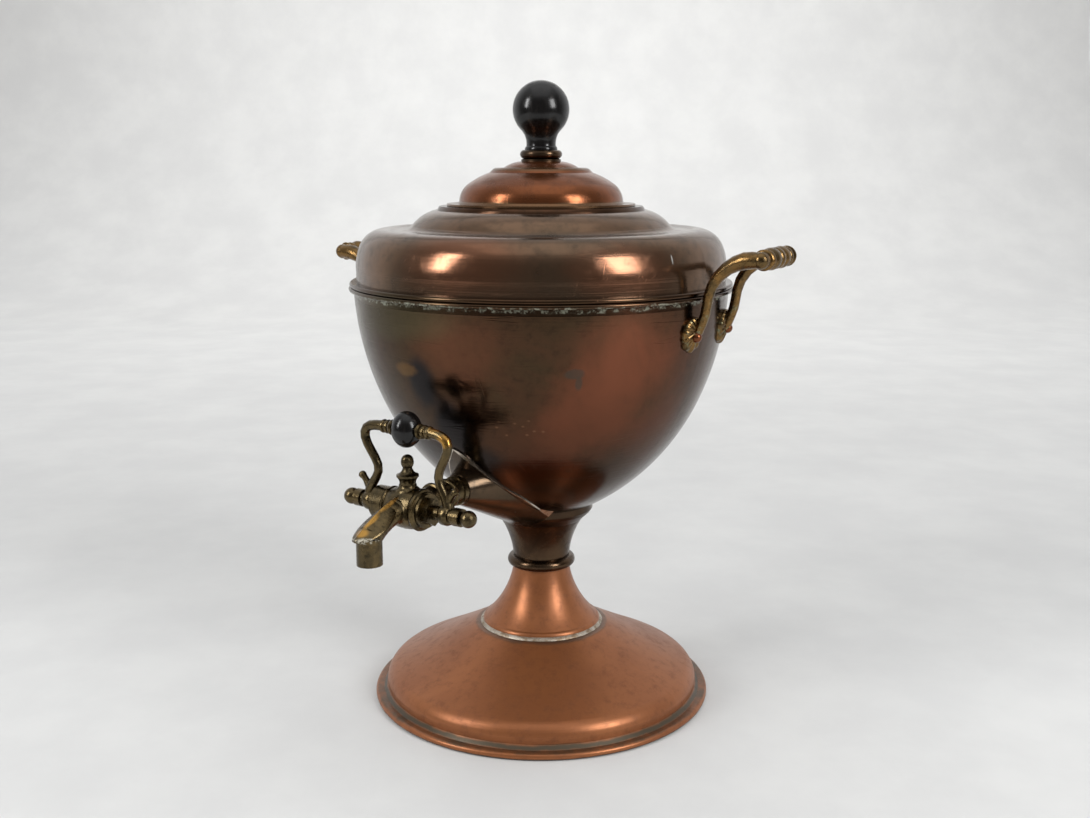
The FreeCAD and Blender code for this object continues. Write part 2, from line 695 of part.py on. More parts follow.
def make_fairing(bowl_form, collar_form):
    """The copper cone that carries the tap, with its pointed patch soldered to the bowl."""
    slope = 0.46
    start = size.collar_radius - 6.0
    length = fairing_face - start
    near = size.wall_flange_radius + 0.4
    spots = {"y": -start, "z": tap_level, "axis": (1, 0, 0), "angle": 90.0}
    outside = taper("fairing_outside", near + length * slope, near, length, **spots)
    inside = taper("fairing_inside", near - size.sheet + length * slope, near - size.sheet,
                   length - 1.0, **spots)
    arch = new_body("fairing_arch")
    outline = sketch_on(arch, "fairing_arch_outline", "XZ_Plane")
    foot = collar_lip + 2.6
    level = tap_level
    wide = size.patch_half_width
    tip = size.patch_tip
    draw_chain(outline, [
        (-wide, level - tip * 0.673, wide * -0.795, foot), (wide * 0.795, foot),
        (wide, level - tip * 0.673, wide * 0.946, level - tip * 0.296),
        (wide * 0.425, level + tip * 0.523),
        (wide * 0.266, level + tip * 0.831, ZERO, level + tip),
        (wide * -0.266, level + tip * 0.831, wide * -0.425, level + tip * 0.523),
        (wide * -0.946, level - tip * 0.296)])
    pad = arch.newObject("PartDesign::Pad", "fairing_arch_pad")
    pad.Profile = outline
    pad.Length = size.bowl_radius.value
    pad.setExpression("Length", size.bowl_radius.formula)
    wrap = turned("fairing_wrap", skin(bowl_outline()[:-1], size.sheet * -0.6))
    patch = common("fairing_patch", arch, wrap)
    cone = cut("fairing_cone", outside, inside)
    tail = bar("fairing_tail_hole", size.tail_radius, length, y=-fairing_face, z=level, **TO_BACK)
    return cut("tap_fairing", fused("fairing_whole", [cone, patch]), bowl_form, collar_form, tail)


def make_tap_seat(bowl_form_inside):
    """The brass boss inside the bowl that gives the back nut a flat face."""
    face = tap_seat_face
    boss = bar("tap_seat_bar", size.tail_radius * 2.4, fairing_face - face,
               y=-fairing_face, z=tap_level, **TO_BACK)
    tail = bar("tap_seat_bore", size.tail_radius, fairing_face, y=-fairing_face,
               z=tap_level, **TO_BACK)
    return cut("tap_seat", common("tap_seat_trimmed", boss, bowl_form_inside), tail)


def plug_cone(name, clearance, half):
    """A taper along X through the barrel, wide end at the head on the left."""
    return taper(name, size.plug_radius + size.plug_taper + clearance,
                 size.plug_radius - size.plug_taper + clearance, half * 2,
                 x=-half, y=-tap_reach, z=tap_level, **TO_RIGHT)


def make_tap_body():
    """Barrel, inlet pipe and threaded tail in one casting, bored for the plug and the water."""
    level = tap_level
    reach = tap_reach
    tail_length = reach - tap_seat_face + 9.0
    barrel = bar("barrel", size.barrel_radius, size.barrel_width, x=-barrel_half, y=-reach, z=level,
                 **TO_RIGHT)
    pipe = bar("inlet_pipe", size.pipe_radius, reach - fairing_face, y=-reach, z=level, **TO_BACK)
    tail = bar("inlet_tail", size.tail_radius, tail_length, y=-reach, z=level, **TO_BACK)
    ring = bar("inlet_ring", size.pipe_radius * 1.4, 3.0, y=-fairing_face - 10.0, z=level, **TO_BACK)
    boss = bar("finial_boss", size.pipe_radius * 0.8, size.barrel_radius + 2.2, y=-reach, z=level)
    bore = plug_cone("plug_bore", size.plug_fit, barrel_half)
    water = bar("water_way", size.port_radius, tail_length + size.barrel_radius * 2,
                y=-reach - size.barrel_radius * 1.5, z=level, **TO_BACK)
    nose = bar("barrel_nose", size.pipe_radius, size.barrel_radius + 1.6, y=-reach, z=level, **FORWARD)
    return cut("tap_body", fused("tap_casting", [barrel, pipe, tail, ring, boss, nose]), bore, water)


def make_wall_flange():
    """The flange ring between the tap and the end of the fairing."""
    start = -fairing_face - 4.0
    disc = bar("wall_flange_disc", size.wall_flange_radius, 4.0, y=start, z=tap_level, **TO_BACK)
    hole = bar("wall_flange_bore", size.pipe_radius, 4.0, y=start, z=tap_level, **TO_BACK)
    return cut("tap_wall_flange", disc, hole)


def make_back_fixing():
    """Leather washer and hexagonal back nut on the tail, against the seat inside the bowl."""
    level = tap_level
    hole = bar("tail_clear", size.tail_radius, 30.0, y=-tap_seat_face, z=level, **TO_BACK)
    washer = bar("back_washer_disc", size.tail_radius * 2, 1.6, y=-tap_seat_face, z=level, **TO_BACK)
    nut = hexagon("back_nut_hex", size.tail_radius * 1.8, 5.0, y=-tap_seat_face + 1.6, z=level, **TO_BACK)
    return cut("tap_back_washer", washer, hole), cut("tap_back_nut", nut, hole)


def make_tap_finial():
    """The turned finial screwed to the top of the barrel."""
    skirt = size.pipe_radius * 1.03
    base = tap_level + size.barrel_radius + 2.2
    return turned("tap_finial", [
        (ZERO, base), (skirt * 0.72, base),
        (skirt * 0.78, base + 2.2, skirt, base + 4.4),
        (skirt, base + 5.6),
        (skirt * 0.6, base + 7.2, skirt * 0.42, base + 9.8),
        (skirt * 0.56, base + 11.6, skirt * 0.56, base + 13.8),
        (skirt * 0.4, base + 16.2, centre_mark, base + 17.2),
        (ZERO, base + 17.2)], y=-tap_reach)


def make_spout():
    """The sloping spout with its leaf-shaped hood over the outlet."""
    level = tap_level
    start = -tap_reach - size.barrel_radius - 1.6
    run = size.outlet_reach - size.barrel_radius - 1.6
    slope = FORWARD_DOWN
    mouth_top = level - 9.5
    pipe = bar("spout_pipe", size.pipe_radius, run * 1.12, y=start, z=level - 0.6, **slope)
    collar = bar("spout_collar", size.pipe_radius * 1.12, 2.6, y=start, z=level, **FORWARD)
    cap = bar("spout_cap", size.outlet_radius, 8.0, y=-outlet_axis, z=mouth_top)
    hood = egg("spout_hood", size.outlet_radius * 1.1, size.hood_reach, 3.2, y=-outlet_axis, z=level - 6.0)
    bore = bar("spout_bore", size.port_radius, run * 1.05, y=start, z=level, **slope)
    drop = bar("spout_drop", size.outlet_radius - 2.4, 5.0, y=-outlet_axis, z=mouth_top)
    below = bar("spout_below", size.outlet_radius * 2, 30.0, y=-outlet_axis, z=mouth_top - 30.0)
    behind = bar("spout_behind", size.barrel_radius, 10.0, y=start, z=level, **TO_BACK)
    whole = fused("spout_whole", [pipe, collar, cap, hood])
    return cut("spout", whole, bore, drop, below, behind), mouth_top


def make_outlet(top):
    """The straight outlet tube under the hood."""
    tube = bar("outlet_tube", size.outlet_radius, top - outlet_mouth, y=-outlet_axis, z=outlet_mouth)
    bore = bar("outlet_bore", size.outlet_radius - 2.4, top - outlet_mouth, y=-outlet_axis, z=outlet_mouth)
    return cut("spout_outlet", tube, bore)


# ---- tap: pieces that turn with the lever ----

def make_plug():
    """The tapered plug with its head, spindle and water port; closed while the lever is upright."""
    level = tap_level
    reach = tap_reach
    port_length = size.plug_radius * 4
    spindle = bar("plug_spindle", size.spindle_radius, size.spindle_half * 2,
                  x=-size.spindle_half, y=-reach, z=level, **TO_RIGHT)
    head = bar("plug_head", size.barrel_radius * 0.85, head_end - barrel_half - running_gap,
               x=-head_end, y=-reach, z=level, **TO_RIGHT)
    solid = fused("plug_solid", [spindle, head, plug_cone("plug_cone", ZERO, barrel_half + running_gap)])
    shut_turn = 10.0
    half_across = math.sin(math.radians(shut_turn)) / 2
    half_down = math.cos(math.radians(shut_turn)) / 2
    port = bar("plug_port", size.port_radius, port_length, y=-reach + port_length * half_across,
               z=level - port_length * half_down, axis=(1, 0, 0), angle=shut_turn)
    return cut("plug", solid, port)


def make_plug_fixing():
    """The washer and the nut that draw the plug into its taper."""
    spots = {"y": -tap_reach, "z": tap_level}
    start = barrel_half + running_gap
    hole = bar("plug_fixing_hole", size.spindle_radius, size.spindle_half, **spots, **TO_RIGHT)
    disc = bar("plug_washer_disc", size.barrel_radius * 0.85, 1.7, x=start, **spots, **TO_RIGHT)
    nut = hexagon("plug_nut_hex", size.spindle_radius * 1.95, nut_end - start - 1.7, x=start + 1.7,
                  **spots, **TO_RIGHT)
    return cut("plug_washer", disc, hole), cut("plug_nut", nut, hole)


def make_lever_arm(name, side):
    """One cast arm of the lever, from its eye on the spindle up to the ball; side is +1 or -1."""
    reach = tap_reach
    level = tap_level
    top = level + size.lever_height
    foot = size.lever_foot * side
    waist = (size.lever_foot - 5.4) * side
    knee = (size.lever_foot + 2.8) * side
    shoulder = (size.lever_foot - 4.0) * side
    ball_end = (size.lever_ball_radius + 0.2) * side
    start = level + size.spindle_radius
    body = new_body(name + "_body")
    path = sketch_on(body, name + "_path", "XZ_Plane")
    draw_chain(path, [
        (foot, start),
        (foot - (foot - waist) * 0.62, start + size.lever_height * 0.17,
         waist, start + size.lever_height * 0.36),
        (waist + (knee - waist) * 0.28, start + size.lever_height * 0.54,
         knee - (knee - waist) * 0.2, start + size.lever_height * 0.7),
        (knee, start + size.lever_height * 0.815, shoulder, top),
        (ball_end, top)], closed=False)
    section = sketch_on(body, name + "_section", "XY_Plane")
    section.AttachmentOffset = FreeCAD.Placement(flat_vector(0, 0), FreeCAD.Rotation())
    section.setExpression("AttachmentOffset.Base.z", start.formula)
    circle = section.addGeometry(Part.Circle(flat_vector(foot, ZERO), FreeCAD.Vector(0, 0, 1),
                                             size.lever_radius.value))
    hold_point(section, "centre", circle, 3, foot, ZERO)
    hold_radius(section, circle, size.lever_radius)
    doc.recompute()
    pipe = body.newObject("PartDesign::AdditivePipe", name + "_pipe")
    pipe.Profile = section
    pipe.Spine = (path, ["Edge1", "Edge2", "Edge3", "Edge4"])
    place(body, y=-reach)
    eye_half = 2.5
    eye = bar(name + "_eye", size.spindle_radius * 1.5, eye_half * 2, x=foot - eye_half, y=-reach, z=level,
              **TO_RIGHT)
    hole = bar(name + "_eye_hole", size.spindle_radius, eye_half * 2, x=foot - eye_half, y=-reach, z=level,
               **TO_RIGHT)
    return cut(name, fused(name + "_cast", [body, eye]), hole)


def hold_radius(sketch, circle, radius):
    index = sketch.addConstraint(Sketcher.Constraint("Radius", circle, radius.value))
    sketch.setExpression("Constraints[%d]" % index, radius.formula)


def make_lever_ball():
    """The ebonised ball on its rod, slightly taller than wide."""
    top = tap_level + size.lever_height
    wide = size.lever_ball_radius
    solid = egg("lever_ball_turned", wide, wide, wide * 1.19, y=-tap_reach, z=top, angle=90.0)
    rod = bar("lever_tie_rod", size.tie_radius, wide * 2, x=-wide, y=-tap_reach, z=top, **TO_RIGHT)
    return cut("lever_ball", solid, rod), rod


def make_spindle_trim(side_name, side):
    """The turned ring and the end ball on one end of the spindle."""
    spots = {"y": -tap_reach, "z": tap_level}
    near = size.lever_foot + 6.0
    ring_length = size.spindle_half - near
    ring_start = near if side > 0 else -size.spindle_half
    spindle = bar("spindle_clear_" + side_name, size.spindle_radius, size.spindle_half * 2,
                  x=-size.spindle_half, **spots, **TO_RIGHT)
    ring_bar = bar("shaft_ring_bar_" + side_name, size.spindle_radius * 1.25, ring_length, x=ring_start,
                   **spots, **TO_RIGHT)
    ring = cut("shaft_ring_" + side_name, ring_bar, spindle)
    centre = (size.spindle_half + size.end_ball_radius * 0.88) * side
    end = ball("end_ball_turned_" + side_name, size.end_ball_radius, x=centre, angle=90.0, **spots)
    return ring, cut("end_ball_" + side_name, end, spindle)


def make_ball_collar(side_name, side):
    """The ring that finishes a lever arm beside the ball."""
    top = tap_level + size.lever_height
    start = size.lever_ball_radius + 0.2
    x = start if side > 0 else -start - 1.8
    outer = bar("ball_collar_bar_" + side_name, size.lever_radius * 1.5, 1.8, x=x, y=-tap_reach, z=top,
                **TO_RIGHT)
    inner = bar("ball_collar_bore_" + side_name, size.lever_radius, 1.8, x=x, y=-tap_reach, z=top,
                **TO_RIGHT)
    return cut("ball_collar_" + side_name, outer, inner)


# ---- put together ----

def make_urn():
    bowl_form = make_bowl_form()
    collar, collar_form = make_collar(bowl_form)
    spout, mouth_top = make_spout()
    inside = turned("bowl_inside", inner_side(bowl_outline(), size.sheet) + [(ZERO, bowl_edge)])
    pieces = [make_foot_rim(), make_foot_dome(), make_solder_ring(), make_stem_cone(), make_stem_bead(),
              collar, make_bowl(bowl_form), make_rim_bead(), make_shoulder(), make_neck_ring(),
              make_lid_dome(), make_lid_skirt(), make_knob_ferrule(), make_lid_knob(),
              *make_knob_fixing(), make_fairing(bowl_form, collar_form), make_tap_seat(inside),
              make_tap_body(), make_wall_flange(), *make_back_fixing(), make_tap_finial(), spout,
              make_outlet(mouth_top), make_plug(), *make_plug_fixing(), *make_lever_ball()]
    for side, turn, drop in handle_sides():
        rivets = make_rivets(side, turn, drop)
        pieces += [rivets, make_handle(side, turn, drop, bowl_form, rivets)]
        pieces.append(make_rivet_washers(side, turn, drop))
    for side_name, side in (("left", -1), ("right", 1)):
        pieces.append(make_lever_arm("lever_arm_" + side_name, side))
        pieces.append(make_ball_collar(side_name, side))
        pieces += make_spindle_trim(side_name, side)
    return pieces


def check_and_write(pieces):
    doc.recompute()
    for thing in doc.Objects:
        if "Invalid" in thing.State or "Error" in thing.State:
            raise RuntimeError("%s did not build: %s" % (thing.Name, thing.State))
    for piece in pieces:
        if piece.Shape.isNull() or not piece.Shape.isValid() or not piece.Shape.Solids:
            raise RuntimeError("%s has no valid shape" % piece.Label)
    os.makedirs("parts", exist_ok=True)
    for piece in pieces:
        piece.Shape.exportStep("parts/%s.step" % piece.Label)


check_and_write(make_urn())
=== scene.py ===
import math

import bpy
import bmesh
from mathutils import Matrix, Vector


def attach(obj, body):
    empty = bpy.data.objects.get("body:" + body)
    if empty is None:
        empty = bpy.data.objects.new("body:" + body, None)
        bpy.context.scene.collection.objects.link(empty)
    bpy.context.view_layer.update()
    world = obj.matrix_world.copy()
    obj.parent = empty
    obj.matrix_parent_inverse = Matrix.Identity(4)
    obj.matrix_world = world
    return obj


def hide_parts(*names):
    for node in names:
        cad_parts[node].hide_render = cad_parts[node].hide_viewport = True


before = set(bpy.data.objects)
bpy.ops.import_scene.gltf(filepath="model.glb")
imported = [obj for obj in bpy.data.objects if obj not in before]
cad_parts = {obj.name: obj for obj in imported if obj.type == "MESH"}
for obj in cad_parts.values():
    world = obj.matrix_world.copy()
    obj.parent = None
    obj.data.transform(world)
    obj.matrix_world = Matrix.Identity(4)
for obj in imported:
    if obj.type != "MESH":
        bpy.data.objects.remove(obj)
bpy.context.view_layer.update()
bpy.ops.object.select_all(action="DESELECT")


# ---------------------------------------------------------------------------------------------
# The table top and the room: a pale painted surface that sweeps up into a pale wall. Two tall soft
# windows light the urn from the front, one on each side, and a wide lamp brightens the wall.
# ---------------------------------------------------------------------------------------------

# The urn is seen from this bearing, counted from the tap towards the right handle, in degrees.
view_bearing = 34.6
view_distance, view_height, view_dip = 0.779, 0.3502, 11.5


def wire(tree, source, target):
    """Join one node's outlet to another's inlet."""
    tree.links.new(source, target)


def object_place(tree, stretch=(1, 1, 1), shift=(0, 0, 0), turn=(0, 0, 0)):
    """Where a point lies on its piece, in metres, centred, turned and stretched for a pattern."""
    where = tree.nodes.new("ShaderNodeTexCoord")
    mapping = tree.nodes.new("ShaderNodeMapping")
    mapping.inputs["Location"].default_value = shift
    mapping.inputs["Rotation"].default_value = turn
    mapping.inputs["Scale"].default_value = stretch
    wire(tree, where.outputs["Object"], mapping.inputs["Vector"])
    return mapping.outputs["Vector"]


def cloud(tree, place, scale, detail=4.0, roughness=0.55, twist=0.0):
    """A cloudy pattern from 0 to 1; the scale counts clouds in a metre."""
    noise = tree.nodes.new("ShaderNodeTexNoise")
    noise.inputs["Scale"].default_value = scale
    noise.inputs["Detail"].default_value = detail
    noise.inputs["Roughness"].default_value = roughness
    noise.inputs["Distortion"].default_value = twist
    wire(tree, place, noise.inputs["Vector"])
    return noise.outputs["Fac"]


def ease(tree, value, low, high, start=0.0, end=1.0):
    """Bring a value between two limits, smoothly, to the range start..end."""
    node = tree.nodes.new("ShaderNodeMapRange")
    node.interpolation_type = "SMOOTHSTEP"
    node.inputs["From Min"].default_value = low
    node.inputs["From Max"].default_value = high
    node.inputs["To Min"].default_value = start
    node.inputs["To Max"].default_value = end
    wire(tree, value, node.inputs["Value"])
    return node.outputs["Result"]


def sum_up(tree, kind, first, second):
    """One sum of two values, each a number or a pattern."""
    node = tree.nodes.new("ShaderNodeMath")
    node.operation = kind
    for socket, value in zip(node.inputs, (first, second)):
        if isinstance(value, (int, float)):
            socket.default_value = value
        else:
            wire(tree, value, socket)
    return node.outputs["Value"]


def tint(tree, factor, below, above, kind="MIX"):
    """Lay one colour over another; each is a colour or another tint."""
    node = tree.nodes.new("ShaderNodeMix")
    node.data_type = "RGBA"
    node.blend_type = kind
    node.clamp_factor = True
    sockets = {socket.identifier: socket for socket in node.inputs}
    if isinstance(factor, (int, float)):
        sockets["Factor_Float"].default_value = factor
    else:
        wire(tree, factor, sockets["Factor_Float"])
    for name, value in (("A_Color", below), ("B_Color", above)):
        if isinstance(value, tuple):
            sockets[name].default_value = value + (1.0,)
        else:
            wire(tree, value, sockets[name])
    return next(socket for socket in node.outputs if socket.identifier == "Result_Color")


def new_material(name, metal, coat=0.0):
    """An empty material with its node tree and its main shader."""
    material = bpy.data.materials.new(name)
    material.use_nodes = True
    shader = material.node_tree.nodes["Principled BSDF"]
    shader.inputs["Metallic"].default_value = metal
    shader.inputs["Coat Weight"].default_value = coat
    return material, material.node_tree, shader


def relief(tree, shader, height, strength, depth):
    """Bump from a height; depth in metres."""
    bump = tree.nodes.new("ShaderNodeBump")
    bump.inputs["Strength"].default_value = strength
    bump.inputs["Distance"].default_value = depth
    wire(tree, height, bump.inputs["Height"])
    wire(tree, bump.outputs["Normal"], shader.inputs["Normal"])


def pale_table():
    """Matt off-white paint, faintly mottled and grained."""
    material, tree, shader = new_material("pale_table", 0.0)
    shader.inputs["Roughness"].default_value = 0.62
    place = object_place(tree)
    mottle = ease(tree, cloud(tree, place, 9.0, 6.0, 0.6), 0.3, 0.75)
    grain = cloud(tree, place, 420.0, 3.0, 0.7)
    wire(tree, tint(tree, mottle, (0.64, 0.64, 0.635), (0.70, 0.70, 0.69)), shader.inputs["Base Color"])
    relief(tree, shader, grain, 0.12, 0.0006)
    return material


def pick(wanted):
    """In edit mode, select the corners whose place is wanted, and the edges and faces between them."""
    bpy.ops.mesh.select_all(action="DESELECT")
    mesh = bmesh.from_edit_mesh(bpy.context.object.data)
    for corner in mesh.verts:
        corner.select = bool(wanted(corner.co))
    mesh.select_flush(True)
    bmesh.update_edit_mesh(bpy.context.object.data)


table_size, sweep_steps, sweep_step, wall_height = 3.0, 12, 0.11, 2.4
bpy.ops.mesh.primitive_plane_add(size=table_size, location=(0, 0.35, 0))
table_top = bpy.context.object
table_top.name = "table_top"
bpy.ops.object.mode_set(mode="EDIT")
pick(lambda corner: corner.y > 1.4)
for step in range(sweep_steps):
    bend = math.radians(90 / sweep_steps * (step + 0.5))
    bpy.ops.mesh.extrude_region_move(TRANSFORM_OT_translate={
        "value": (0, sweep_step * math.cos(bend), sweep_step * math.sin(bend))})
bpy.ops.mesh.extrude_region_move(TRANSFORM_OT_translate={"value": (0, 0, wall_height)})
bpy.ops.object.mode_set(mode="OBJECT")
bpy.ops.object.transform_apply(location=True, rotation=True, scale=True)
bpy.ops.object.shade_smooth()
table_top.rotation_euler = (0, 0, math.radians(view_bearing))
table_top.data.materials.append(pale_table())


def bright_room():
    """The air all round: pale wall and ceiling behind the urn, a dimmer room in front of it."""
    world = bpy.data.worlds.new("room")
    world.use_nodes = True
    tree = world.node_tree
    shader = tree.nodes["Background"]
    heading = tree.nodes.new("ShaderNodeTexCoord")
    facing = tree.nodes.new("ShaderNodeMapping")
    facing.inputs["Rotation"].default_value = (0, 0, math.radians(-view_bearing))
    wire(tree, heading.outputs["Generated"], facing.inputs["Vector"])
    parts = tree.nodes.new("ShaderNodeSeparateXYZ")
    wire(tree, facing.outputs["Vector"], parts.inputs["Vector"])
    behind = ease(tree, parts.outputs["Y"], -0.20, 0.50)
    overhead = ease(tree, parts.outputs["Z"], 0.45, 1.0)
    pale = sum_up(tree, "MAXIMUM", behind, overhead)
    wire(tree, tint(tree, pale, (0.17, 0.165, 0.16), (0.86, 0.87, 0.88)), shader.inputs["Color"])
    shader.inputs["Strength"].default_value = 1.0
    return world


bpy.context.scene.world = bright_room()
bpy.context.scene.view_settings.view_transform = "Standard"


def window_light(name, place, aim, width, height, power):
    """A soft rectangular light at a place, turned to face its aim; power in watts."""
    bpy.ops.object.light_add(type="AREA", location=place)
    light = bpy.context.object
    light.name = name
    light.data.shape = "RECTANGLE"
    light.data.size = width
    light.data.size_y = height
    light.data.energy = power
    light.rotation_euler = (Vector(aim) - Vector(place)).to_track_quat("-Z", "Y").to_euler()


def seen_from(bearing, distance, height):
    """A place round the urn: bearing in degrees from the tap towards the right handle."""
    turn = math.radians(bearing)
    return (distance * math.sin(turn), -distance * math.cos(turn), height)


window_light("window_left", seen_from(view_bearing - 62, 1.5, 0.95), (0, 0, 0.22), 0.30, 0.9, 13)
window_light("window_right", seen_from(view_bearing + 50, 1.6, 0.95), (0, 0, 0.22), 0.50, 0.9, 18)
window_light("ceiling_glow", seen_from(view_bearing, 0.35, 1.9), (0, 0, 0), 1.6, 1.6, 3)
behind_urn = view_bearing + 180
window_light("wall_glow", seen_from(behind_urn, 1.3, 1.9), seen_from(behind_urn, 2.75, 1.15), 2.4, 0.8, 36)

bpy.ops.object.camera_add(location=seen_from(view_bearing, view_distance, view_height))
camera = bpy.context.object
camera.rotation_euler = (math.radians(90 - view_dip), 0, math.radians(view_bearing - 0.18))
camera.data.sensor_width = 36.0
camera.data.lens = 40.13
camera.data.clip_start = 0.01
bpy.context.scene.camera = camera


# ---------------------------------------------------------------------------------------------
# Foot: a low dome and a hollow cone, spun from copper sheet and soldered together, with a wired
# edge to stand on. Rubbed to a warm satin brown, with green dirt left in the groove at the edge.
# ---------------------------------------------------------------------------------------------

def finish_node(name, material):
    """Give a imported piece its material."""
    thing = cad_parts[name]
    thing.data.materials.clear()
    thing.data.materials.append(material)
    return thing


def spun_copper(name, clean, aged, deep, gloss=(0.24, 0.38), seed=0.0, scratched=0.5, metal=0.9):
    """Spun copper under a thin brown skin: broad clouds, fine freckles, turning marks, scratches."""
    material, tree, shader = new_material(name, metal)
    place = object_place(tree, shift=(seed, seed * 0.37, seed * 0.61))
    broad = ease(tree, cloud(tree, place, 13.0, 5.0, 0.6, 0.7), 0.34, 0.68)
    freckle = ease(tree, cloud(tree, place, 150.0, 6.0, 0.72), 0.44, 0.74)
    turning = cloud(tree, object_place(tree, stretch=(5, 5, 900)), 1.0, 3.0, 0.7)
    colour = tint(tree, broad, clean, aged)
    colour = tint(tree, sum_up(tree, "MULTIPLY", freckle, 0.6), colour, deep)
    lines = scratches(tree, seed, scratched)
    colour = tint(tree, sum_up(tree, "MULTIPLY", lines, 0.35), colour, clean)
    haze = sum_up(tree, "ADD", sum_up(tree, "MULTIPLY", broad, 0.45),
                  sum_up(tree, "MULTIPLY", freckle, 0.55))
    rough = ease(tree, haze, 0.0, 1.0, *gloss)
    wire(tree, rough, shader.inputs["Roughness"])
    height = sum_up(tree, "ADD", sum_up(tree, "MULTIPLY", turning, 0.5),
                    sum_up(tree, "MULTIPLY", cloud(tree, place, 38.0, 3.0, 0.5), 1.6))
    height = sum_up(tree, "SUBTRACT", height, sum_up(tree, "MULTIPLY", lines, 0.5))
    relief(tree, shader, height, 0.22, 0.0006)
    return material, tree, shader, colour


def scratches(tree, seed, amount):
    """Two sets of fine straight scratches that come and go."""
    found = None
    for turn, stretch in ((0.5, (30, 30, 420)), (-0.9, (420, 40, 30))):
        place = object_place(tree, stretch=stretch, shift=(seed,) * 3, turn=(turn, turn * 1.7, turn * 0.6))
        line = tree.nodes.new("ShaderNodeTexVoronoi")
        line.feature = "DISTANCE_TO_EDGE"
        line.inputs["Scale"].default_value = 0.22
        wire(tree, place, line.inputs["Vector"])
        thin = ease(tree, line.outputs["Distance"], 0.0, 0.02, amount, 0.0)
        patchy = ease(tree, cloud(tree, object_place(tree, shift=(turn, seed, 0)), 26.0, 2.0), 0.5, 0.7)
        one = sum_up(tree, "MULTIPLY", thin, patchy)
        found = one if found is None else sum_up(tree, "MAXIMUM", found, one)
    return found


def band(tree, low, high, soft, wander=0.0):
    """1 between two heights on the urn, falling to 0 over a soft edge that may wander."""
    parts = tree.nodes.new("ShaderNodeSeparateXYZ")
    wire(tree, object_place(tree), parts.inputs["Vector"])
    height = parts.outputs["Z"]
    if wander:
        drift = sum_up(tree, "SUBTRACT", cloud(tree, object_place(tree), 70.0, 5.0, 0.65), 0.5)
        height = sum_up(tree, "ADD", height, sum_up(tree, "MULTIPLY", drift, wander))
    rise = ease(tree, height, low - soft, low + soft)
    fall = ease(tree, height, high - soft, high + soft, 1.0, 0.0)
    return sum_up(tree, "MULTIPLY", rise, fall)


def foot_copper():
    """Warm satin brown, darker in the groove at the edge and along the soldered seam."""
    material, tree, shader, colour = spun_copper(
        "foot_copper", (0.33, 0.118, 0.042), (0.27, 0.094, 0.034), (0.17, 0.060, 0.024), gloss=(0.34, 0.48),
        metal=0.55)
    groove = band(tree, 0.0042, 0.0068, 0.0009, 0.003)
    colour = tint(tree, groove, colour, (0.070, 0.052, 0.032))
    low_edge = band(tree, -0.001, 0.0012, 0.0006, 0.002)
    colour = tint(tree, low_edge, colour, (0.08, 0.05, 0.03))
    seam = band(tree, 0.0462, 0.0485, 0.0008, 0.002)
    colour = tint(tree, seam, colour, (0.13, 0.07, 0.04))
    wire(tree, colour, shader.inputs["Base Color"])
    return material


foot_skin = foot_copper()
for piece_name in ("foot_rim", "foot_dome", "stem_cone"):
    finish_node(piece_name, foot_skin)


def grey_solder():
    """Dull grey metal with brown patches."""
    material, tree, shader = new_material("grey_solder", 0.75)
    place = object_place(tree)
    patch = ease(tree, cloud(tree, place, 160.0, 5.0, 0.7), 0.35, 0.65)
    colour = tint(tree, patch, (0.52, 0.47, 0.40), (0.24, 0.17, 0.11))
    wire(tree, colour, shader.inputs["Base Color"])
    shader.inputs["Roughness"].default_value = 0.5
    relief(tree, shader, cloud(tree, place, 700.0, 3.0), 0.4, 0.0004)
    return material


finish_node("solder_ring", grey_solder())


# ---------------------------------------------------------------------------------------------
# Stem: a turned bronze bead over the joint and a cast bronze collar, both dark and polished by
# handling, with the bowl seated in the collar's cup.
# ---------------------------------------------------------------------------------------------

def dark_bronze():
    """Nearly black bronze with a few rubbed places."""
    material, tree, shader = new_material("dark_bronze", 1.0)
    place = object_place(tree)
    broad = ease(tree, cloud(tree, place, 45.0, 5.0, 0.6, 0.5), 0.3, 0.7)
    colour = tint(tree, broad, (0.090, 0.055, 0.032), (0.048, 0.031, 0.020))
    rub = ease(tree, cloud(tree, place, 210.0, 5.0, 0.7), 0.55, 0.8)
    colour = tint(tree, sum_up(tree, "MULTIPLY", rub, 0.5), colour, (0.17, 0.10, 0.055))
    wire(tree, colour, shader.inputs["Base Color"])
    wire(tree, ease(tree, broad, 0.0, 1.0, 0.20, 0.36), shader.inputs["Roughness"])
    relief(tree, shader, cloud(tree, place, 320.0, 4.0, 0.6), 0.18, 0.0004)
    return material


bronze_skin = dark_bronze()
for piece_name in ("stem_bead", "stem_collar", "knob_ferrule"):
    finish_node(piece_name, bronze_skin)


# ---------------------------------------------------------------------------------------------
# Bowl and shoulder: two copper shells, the bowl under a dark brown skin and the shoulder paler.
# The bowl has redder rubbed patches, blue-black stains by the tap and pale scale under its rim.
# ---------------------------------------------------------------------------------------------

